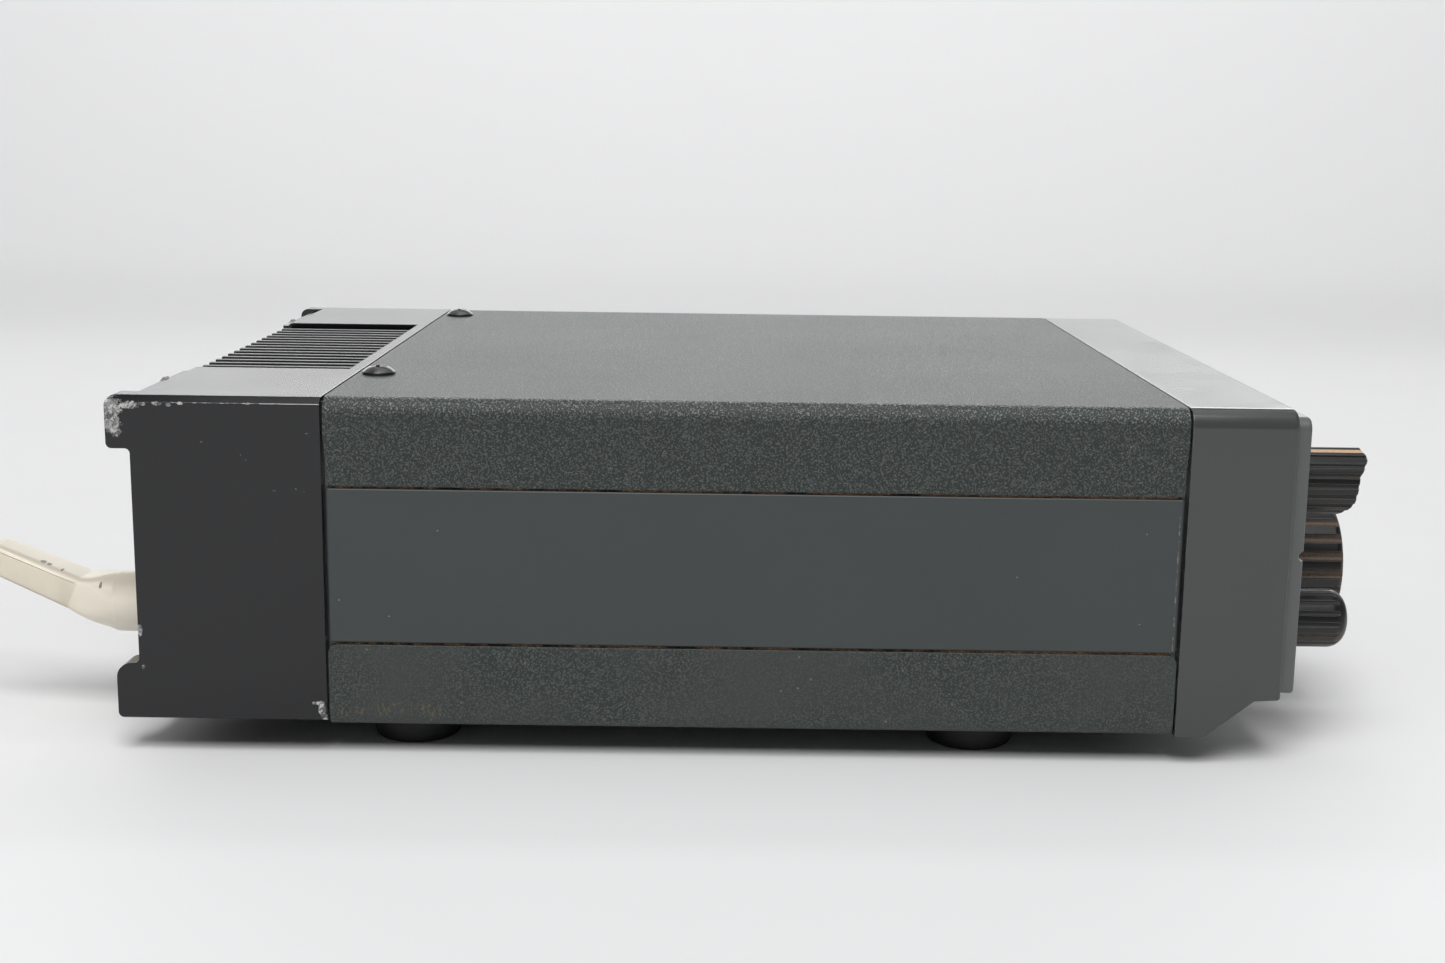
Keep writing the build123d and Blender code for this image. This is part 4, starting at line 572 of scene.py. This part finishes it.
def paperCone():
    look = paperLook
    made, shader, place = startFinish("paperCone")
    fibre = cloud(stretch(place, 1, 1, 0.4), 2.0, 5.0, 0.7)
    plugIn(shader, {
        "Base Color": tint(fibre, look["dark"], look["fibre"]),
        "Roughness": shift(fibre, 0.75, 0.92),
        "Normal": bumps(fibre, look["depth"]),
    })
    return made


grimeLook = {
    "soot": (0.010, 0.008, 0.007),
    "rust": (0.25, 0.135, 0.070),
    "thicker": (44, 60),  # towards the front, between these places
    "depth": 0.15,
}


def seamGrime():
    look = grimeLook
    made, shader, place = startFinish("seamGrime")
    thick = rise(axes(place)[0], *look["thicker"]) * 0.22
    drift = rise(cloud(stretch(place, 1, 1, 0.3), 0.16, 4.0, 0.7) + thick, 0.40, 0.58)
    crumbs = rise(cloud(place, 1.9, 3.0, 0.7), 0.40, 0.60)
    plugIn(shader, {
        "Base Color": tint(drift * shift(crumbs, 0.4, 1.0), look["soot"], look["rust"]),
        "Roughness": shift(crumbs, 0.80, 0.95),
        "Normal": bumps(crumbs, look["depth"]),
    })
    return made


finishes = {
    "coverTop": coverPaint("coverGrainTop", 0.95, 0.20, 0.5),
    "coverLow": coverPaint("coverGrainLow", 0.2, 0.05, 0.6, True),
    "rail": railPaint(),
    "sink": sinkPaint(),
    "grime": seamGrime(),
    "cream": creamMould(),
    "smoke": smokedWindow(),
    "board": boardMask(),
    "paper": paperCone(),
}
for makeFinish, looks in ((mouldedPlastic, mouldLook), (knobMould, knobs), (plainMetal, metalLook)):
    finishes.update({name: makeFinish(name, **look) for name, look in looks.items()})

dressing = {
    "coverTop": ["top_cover"],
    "coverLow": ["bottom_cover"],
    "rail": ["left_side_rail", "right_side_rail"],
    "sink": ["heat_sink", "left_rear_plate", "right_rear_plate"],
    "bezel": ["front_bezel"],
    "panel": ["front_panel"],
    "modeGrip": ["mode_knob"],
    "volumeGrip": ["volume_knob"],
    "squelchGrip": ["squelch_knob"],
    "tuningGrip": ["tuning_knob"],
    "buttonCap": ["memory_button", "scan_button", "step_button", "power_button"],
    "black": ["dc_inlet", "coil_tie", "power_module", "mic_insert", "push_switches"],
    "rubber": ["rubber_feet"],
    "white": ["antenna_insulator"],
    "digitBlock": ["display_digits"],
    "cream": ["power_plug", "lead_connector"],
    "smoke": ["display_window"],
    "bareCasting": ["chassis_frame", "sub_panel"],
    "zincSteel": [
        "board_screws", "case_screws", "foot_screws", "speaker_frame", "shield_cans",
        "mode_shaft", "volume_shaft", "squelch_shaft", "tuning_shaft",
        "mode_switch", "volume_pot", "squelch_pot", "tuning_encoder",
    ],
    "blackenedSteel": ["cover_screws"],
    "wornSteel": ["rear_plate_screws"],
    "nickelPlate": ["antenna_screws", "antenna_socket", "speaker_jack", "mic_socket", "control_nuts"],
    "brightBrass": ["board_standoffs", "antenna_contact"],
    "board": ["display_board", "main_board", "rf_board"],
    "paper": ["speaker_cone"],
    "ferrite": ["speaker_magnet"],
    "sheath": ["dc_lead", "dc_lead_coil"],
}
for finish, names in dressing.items():
    for name in names:
        nodes[name].data.materials.clear()
        nodes[name].data.materials.append(finishes[finish])

print("camera and studio")

view = {
    "place": (-1.7, nearSide - 354.6, 124.9),
    "pitch": 10.89,
    "yaw": 0.03,
    "roll": 0.79,
    "focal": 1857.4,  # in pixels of the frame
    "frameWidth": 1445,
}
lens = bpy.data.cameras.new("photoCamera")
lens.sensor_width = 36
lens.sensor_fit = "HORIZONTAL"
lens.lens = lens.sensor_width * view["focal"] / view["frameWidth"]
lens.clip_start = 0.01
camera = bpy.data.objects.new("photoCamera", lens)
bpy.context.scene.collection.objects.link(camera)
camera.matrix_world = (
    Matrix.Translation(Vector(view["place"]) * mm)
    @ Matrix.Rotation(-math.radians(view["yaw"]), 4, "Z")
    @ Matrix.Rotation(math.radians(90 - view["pitch"]), 4, "X")
    @ Matrix.Rotation(math.radians(view["roll"]), 4, "Z")
)
bpy.context.scene.camera = camera


def keep(bm, name, finish, body=None, sharp=38):
    for face in bm.faces:
        face.smooth = True
    for edge in bm.edges:
        if edge.is_manifold and edge.calc_face_angle() > math.radians(sharp):
            edge.smooth = False
    mesh = bpy.data.meshes.new(name)
    bm.to_mesh(mesh)
    bm.free()
    made = bpy.data.objects.new(name, mesh)
    bpy.context.scene.collection.objects.link(made)
    mesh.materials.append(finish)
    if body:
        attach(made, body)
    return made


sweep = {
    "half": 4.0,
    "back": 0.75,
    "bend": 0.5,
    "turn": 62.0,
    "steps": 14,
    "colour": (0.815, 0.815, 0.82),
    "dull": 0.15,  # painted shade: the paper is darker by this share over a band round where things stand
    "shadeFrom": (-150, 30),  # in millimetres, away from the camera
    "shadeTo": (650, 950),
}
sweepPaper, paperShader, paperPlace = startFinish("sweepPaper")
tooth = cloud(paperPlace, 0.02, 3.0)
away = axes(paperPlace)[1]
# painted shade on the paper round and behind the radio
paintedShade = rise(away, *sweep["shadeFrom"]) * (1 - rise(away, *sweep["shadeTo"])) * sweep["dull"]
plugIn(paperShader, {
    "Base Color": tint(paintedShade + tooth * 0.015, sweep["colour"], (0, 0, 0)),
    "Roughness": shift(tooth, 0.72, 0.80),
})
bm = bmesh.new()
bmesh.ops.create_grid(bm, x_segments=1, y_segments=1, size=sweep["half"])
bmesh.ops.translate(bm, verts=bm.verts, vec=(0, sweep["back"] - sweep["half"], 0))
rear = [e for e in bm.edges if all(v.co.y > sweep["back"] - 0.001 for v in e.verts)]
bmesh.ops.spin(
    bm, geom=rear + list(dict.fromkeys(v for e in rear for v in e.verts)),
    cent=(0, sweep["back"], sweep["bend"]), axis=(1, 0, 0),
    angle=math.radians(sweep["turn"]), steps=sweep["steps"],
)
floor = keep(bm, "studioSweep", sweepPaper)

lamps = {
    "overhead": {"place": (0.1, -0.1, 1.7), "aim": (0, -0.1, 0), "size": (1.6, 1.0), "power": 6},
    "front": {"place": (-0.1, -1.05, 1.75), "aim": (0, 0, 0.05), "size": (1.2, 1.2), "power": 32.5},
    "behind": {"place": (0, 3.2, 1.2), "aim": (0, 0, 0.1), "size": (6.0, 1.0), "power": 76},
    "backdrop": {"place": (0, 0.55, 1.0), "aim": (0, 1.25, 0.1), "size": (2.6, 0.4), "power": 6.1},
}
for name, lamp in lamps.items():
    light = bpy.data.lights.new(name, "AREA")
    light.shape = "RECTANGLE"
    light.size, light.size_y = lamp["size"]
    light.energy = lamp["power"]
    made = bpy.data.objects.new(name, light)
    bpy.context.scene.collection.objects.link(made)
    made.location = lamp["place"]
    towards = Vector(lamp["aim"]) - Vector(lamp["place"])
    made.rotation_euler = towards.to_track_quat("-Z", "Y").to_euler()

room = {"colour": (0.95, 0.97, 1.0, 1), "strength": 0.12}
world = bpy.data.worlds.new("studioLight")
world.use_nodes = True
world.node_tree.nodes["Background"].inputs["Color"].default_value = room["colour"]
world.node_tree.nodes["Background"].inputs["Strength"].default_value = room["strength"]
bpy.context.scene.world = world
bpy.context.scene.view_settings.view_transform = "Standard"

print("supply plug")

plug = {
    "z": 23.0,
    "face": -119.8,
    "diameter": 13.0,
    "barrel": [  # back from the face, and smaller than the diameter by
        (0, 0.6), (0.2, 0.3), (0.3, 0), (9.4, 0), (9.8, 0.1), (10.0, 0.28), (10.3, 0.28),
    ],
    "root": (-129.8, 0, 21.75),  # the arm is measured from here
    "neck": 9.4,
    "neckRings": (0.14, 0.28, 0.42, 0.56, 0.70, 0.85, 1.0),  # shares of the way from the barrel
    "neckSize": (10.2, 7.3),
    "arm": [  # along the arm, and smaller than its taper by
        (9.6, 0), (14.5, 0), (18.6, 0), (22.7, 0), (27.6, 0), (28.7, 0), (28.9, 0.3), (29.0, 0.6),
    ],
    "endSize": (8.6, 6.2),
    "square": 6.5,
    "sides": 64,
    "panel": (9.6, 27.6),  # raised on both sides, along the arm
    "panelTop": 0.72,  # share of the half height
    "panelRim": 0.3,
    "panelRise": 0.2,
}
tilt = math.radians(plugTilt)
armWay = Vector((-math.cos(tilt), 0, math.sin(tilt)))
armUp = Vector((math.sin(tilt), 0, math.cos(tilt)))
root = Vector(plug["root"])


def plugRing(bm, x, z, angle, width, height, square):
    ring = bmesh.ops.create_circle(bm, segments=plug["sides"], radius=1)["verts"]
    for v in ring:  # round to square-shouldered
        across = math.copysign(abs(v.co.x) ** (2 / square), v.co.x) * width / 2
        up = math.copysign(abs(v.co.y) ** (2 / square), v.co.y) * height / 2
        v.co = (x + up * math.sin(angle), plugLine + across, z + up * math.cos(angle))
    return list(dict.fromkeys(e for v in ring for e in v.link_edges))


def armSize(along):  # width and height of the tapered arm
    share = (along - plug["neck"]) / (plug["arm"][-1][0] - plug["neck"])
    return [a + (b - a) * share for a, b in zip(plug["neckSize"], plug["endSize"])]


stations = []
for back, cut in plug["barrel"]:
    slim = plug["diameter"] - cut
    stations.append((plug["face"] - back, plug["z"], 0, slim, slim, 2))
neckStart = Vector((plug["face"] - back, 0, plug["z"]))
neckEnd = root + armWay * plug["neck"]
for share in plug["neckRings"]:
    spot = neckStart.lerp(neckEnd, share)
    ease = 3 * share**2 - 2 * share**3
    wide, tall = (slim + (s - slim) * share for s in plug["neckSize"])
    stations.append((spot.x, spot.z, tilt * ease, wide, tall, 2 + (plug["square"] - 2) * ease))
for along, cut in plug["arm"]:
    spot = root + armWay * along
    wide, tall = (s - cut for s in armSize(along))
    stations.append((spot.x, spot.z, tilt, wide, tall, plug["square"]))
bm = bmesh.new()
rings = [plugRing(bm, *station) for station in stations]
for first, second in zip(rings, rings[1:]):
    bmesh.ops.bridge_loops(bm, edges=first + second)
for ends in (rings[0], rings[-1]):
    bmesh.ops.edgeloop_fill(bm, edges=ends)
bmesh.ops.recalc_face_normals(bm, faces=bm.faces)
panels = []
for face in bm.faces:
    spot = face.calc_center_median()
    away = Vector((spot.x - root.x, 0, spot.z - root.z))
    along = away.dot(armWay)
    top = plug["panelTop"] * armSize(along)[1] / 2
    onSide = abs(face.normal.y) > 0.75
    if plug["panel"][0] < along < plug["panel"][1] and onSide and away.dot(armUp) < top:
        panels.append(face)
bmesh.ops.inset_region(
    bm, faces=panels, thickness=plug["panelRim"], depth=plug["panelRise"],
    use_even_offset=True, use_boundary=True,
)
bmesh.ops.scale(bm, verts=bm.verts, vec=(mm, mm, mm))
supplyPlug = keep(bm, "supplyPlug", finishes["cream"], "radio")
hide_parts("power_plug")

print("supply lead")

lead = {
    "diameter": 4.8,
    "length": 1.2960,
    "exit": (-154.893, plugLine, 32.805),
    "straight": 22.0,
    "route": [  # y from the plug's middle
        (-197.39, -0.6, 35.79), (-216.39, -1.8, 15.52), (-236.89, -3.0, 6.28), (-258.39, -3.6, 3.0)
    ],
    "runIn": 14.0,
    "pitch": 5.4,
    "radius": 36.5,
    "layerTurns": 3,
    "climbTurns": 0.5,
    "perTurn": 24,
    "tail": 28.0,
    "tailPoints": (0.35, 1.0),
}


def coilPoint(centre, turn):
    inner = lead["radius"] - lead["pitch"] * lead["layerTurns"]
    level = 0.0
    if turn <= lead["layerTurns"]:
        radius = lead["radius"] - lead["pitch"] * turn
    elif turn <= lead["layerTurns"] + lead["climbTurns"]:
        share = (turn - lead["layerTurns"]) / lead["climbTurns"]
        radius = inner - lead["pitch"] * lead["climbTurns"] * (share - share**2)
        level = lead["pitch"] * (3 * share**2 - 2 * share**3)
    else:
        radius = inner + lead["pitch"] * (turn - lead["layerTurns"] - lead["climbTurns"])
        level = lead["pitch"]
    angle = -math.pi / 2 - 2 * math.pi * turn
    radius /= math.cos(math.pi / lead["perTurn"])  # the spline cuts inside its points by this much
    return centre + Vector((radius * math.cos(angle), radius * math.sin(angle), level))


slip = math.atan2(lead["pitch"], 2 * math.pi * lead["radius"])
coilWay = Vector((-math.cos(slip), math.sin(slip), 0))
tailWay = Vector((math.cos(slip), math.sin(slip), 0))
leave = Vector(lead["exit"])
points = [leave, leave + lead["straight"] * armWay]
points += [Vector((x, plugLine + y, z)) for x, y, z in lead["route"]]
points.append(points[-1] + coilWay * lead["runIn"])
coilStart = points[-1] + coilWay * lead["diameter"]
coilCentre = coilStart + Vector((0, lead["radius"], 0))
turns = 2 * lead["layerTurns"] + lead["climbTurns"]
steps = int(turns * lead["perTurn"])
points += [coilPoint(coilCentre, i / lead["perTurn"]) for i in range(1, steps + 1)]
points += [points[-1] + tailWay * lead["tail"] * share for share in lead["tailPoints"]]

line = bpy.data.curves.new("supplyLead", "CURVE")
line.dimensions = "3D"
spline = line.splines.new("NURBS")
spline.points.add(len(points) - 1)
for spot, point in zip(spline.points, points):
    spot.co = (*(point * mm), 1)
spline.order_u = 3
spline.use_endpoint_u = True
spline.resolution_u = 6
line.bevel_depth = lead["diameter"] / 2 * mm
line.bevel_resolution = 5
line.use_fill_caps = True
supplyLead = bpy.data.objects.new("supplyLead", line)
bpy.context.scene.collection.objects.link(supplyLead)
line.materials.append(finishes["sheath"])
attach(supplyLead, "radio")
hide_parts("dc_lead", "dc_lead_coil")

print("display")

digits = {
    "first": nearSide + 36.8,
    "pitch": 9.6,
    "count": 6,
    "height": 7.6,
    "width": 4.4,
    "stroke": 0.95,
    "thick": 0.3,
    "lean": 7.0,
    "point": 0.42,  # share of a bar's breadth that its pointed ends take
    "gaps": (1.25, 0.25),  # lying and standing bars are shorter by these shares of the stroke
}
meter = {"middle": nearSide + 102.0, "bars": 7, "pitch": 1.9, "width": 1.1, "height": 4.2}
blockLow, blockHigh = (Vector(c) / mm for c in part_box("display_digits"))
digitMiddle = (blockLow.z + blockHigh.z) / 2


def edgesAlong(verts, axis, least):  # edges longer than least along one axis
    edges = dict.fromkeys(e for v in verts for e in v.link_edges)
    return [e for e in edges if abs(e.verts[0].co[axis] - e.verts[1].co[axis]) > least]


def displayBar(bm, y, z, width, height):
    size = Matrix.Diagonal((digits["thick"], width, height, 1))
    lie = Matrix.Translation((blockHigh.x, y, z)) @ size
    made = bmesh.ops.create_cube(bm, size=1, matrix=lie)["verts"]
    bmesh.ops.bevel(
        bm, geom=edgesAlong(made, 0, digits["thick"] / 2), offset=min(width, height) * digits["point"],
        offset_type="OFFSET", affect="EDGES", segments=1, profile=0.5, material=-1,
    )


bm = bmesh.new()
stroke = digits["stroke"]
reach = (digits["height"] - stroke) / 2
side = (digits["width"] - stroke) / 2
lying = digits["width"] - stroke * digits["gaps"][0]
standing = reach - stroke * digits["gaps"][1]
shear = math.tan(math.radians(digits["lean"]))
for place in range(digits["count"]):
    y = digits["first"] + digits["pitch"] * place
    for up in (-reach, 0, reach):
        displayBar(bm, y + up * shear, digitMiddle + up, lying, stroke)
    for across in (-side, side):
        for up in (-reach / 2, reach / 2):
            displayBar(bm, y + across + up * shear, digitMiddle + up, stroke, standing)
for place in range(meter["bars"]):
    y = meter["middle"] + (place - (meter["bars"] - 1) / 2) * meter["pitch"]
    displayBar(bm, y, digitMiddle, meter["width"], meter["height"])
bmesh.ops.scale(bm, verts=bm.verts, vec=(mm, mm, mm))
keep(bm, "displayBars", finishes["digitBar"], "radio")

print("grime in the seams")

seams = {
    "inset": 0.45,
    "thick": 0.5,
    "wander": 0.11,
    "cuts": 150,
    "trim": 1.5,
    "topDepth": 2.2,  # of the seam behind the bezel, below the cover's top
    "topThick": 0.6,
    "topTrim": 6,
    "topClear": (0.05, 0.02),  # from the rail and from the bezel
}
coverBox, lowBox, railBox, bezelBox = (
    [Vector(c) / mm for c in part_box(name)]
    for name in ("top_cover", "bottom_cover", "left_side_rail", "front_bezel")
)


def grimeStrip(bm, low, high, run):
    size = high - low
    lie = Matrix.Translation((low + high) / 2) @ Matrix.Diagonal((*size, 1))
    made = bmesh.ops.create_cube(bm, size=1, matrix=lie)["verts"]
    longEdges = edgesAlong(made, run, size[run] / 2)
    cut = bmesh.ops.subdivide_edges(bm, edges=longEdges, cuts=seams["cuts"], use_grid_fill=True)
    for v in cut["geom_inner"]:
        if isinstance(v, bmesh.types.BMVert):
            stray = [0 if i == run else random.uniform(-1, 1) * seams["wander"] for i in range(3)]
            v.co += Vector(stray)


bm = bmesh.new()
start, end = railBox[0].x + seams["trim"], railBox[1].x - seams["trim"]
outside = -nearSide - seams["inset"]
for side in (-1, 1):
    near, far = sorted((side * outside, side * (outside - seams["thick"])))
    for low, high in ((railBox[1].z, coverBox[0].z), (lowBox[1].z, railBox[0].z)):
        grimeStrip(bm, Vector((start, near, low)), Vector((end, far, high)), 0)
topLevel = coverBox[1].z - seams["topDepth"]
start, end = railBox[1].x + seams["topClear"][0], bezelBox[0].x - seams["topClear"][1]
near, far = nearSide + seams["topTrim"], -nearSide - seams["topTrim"]
grimeStrip(bm, Vector((start, near, topLevel)), Vector((end, far, topLevel + seams["topThick"])), 1)
bmesh.ops.scale(bm, verts=bm.verts, vec=(mm, mm, mm))
keep(bm, "seamGrime", finishes["grime"], "radio")

print("finished")
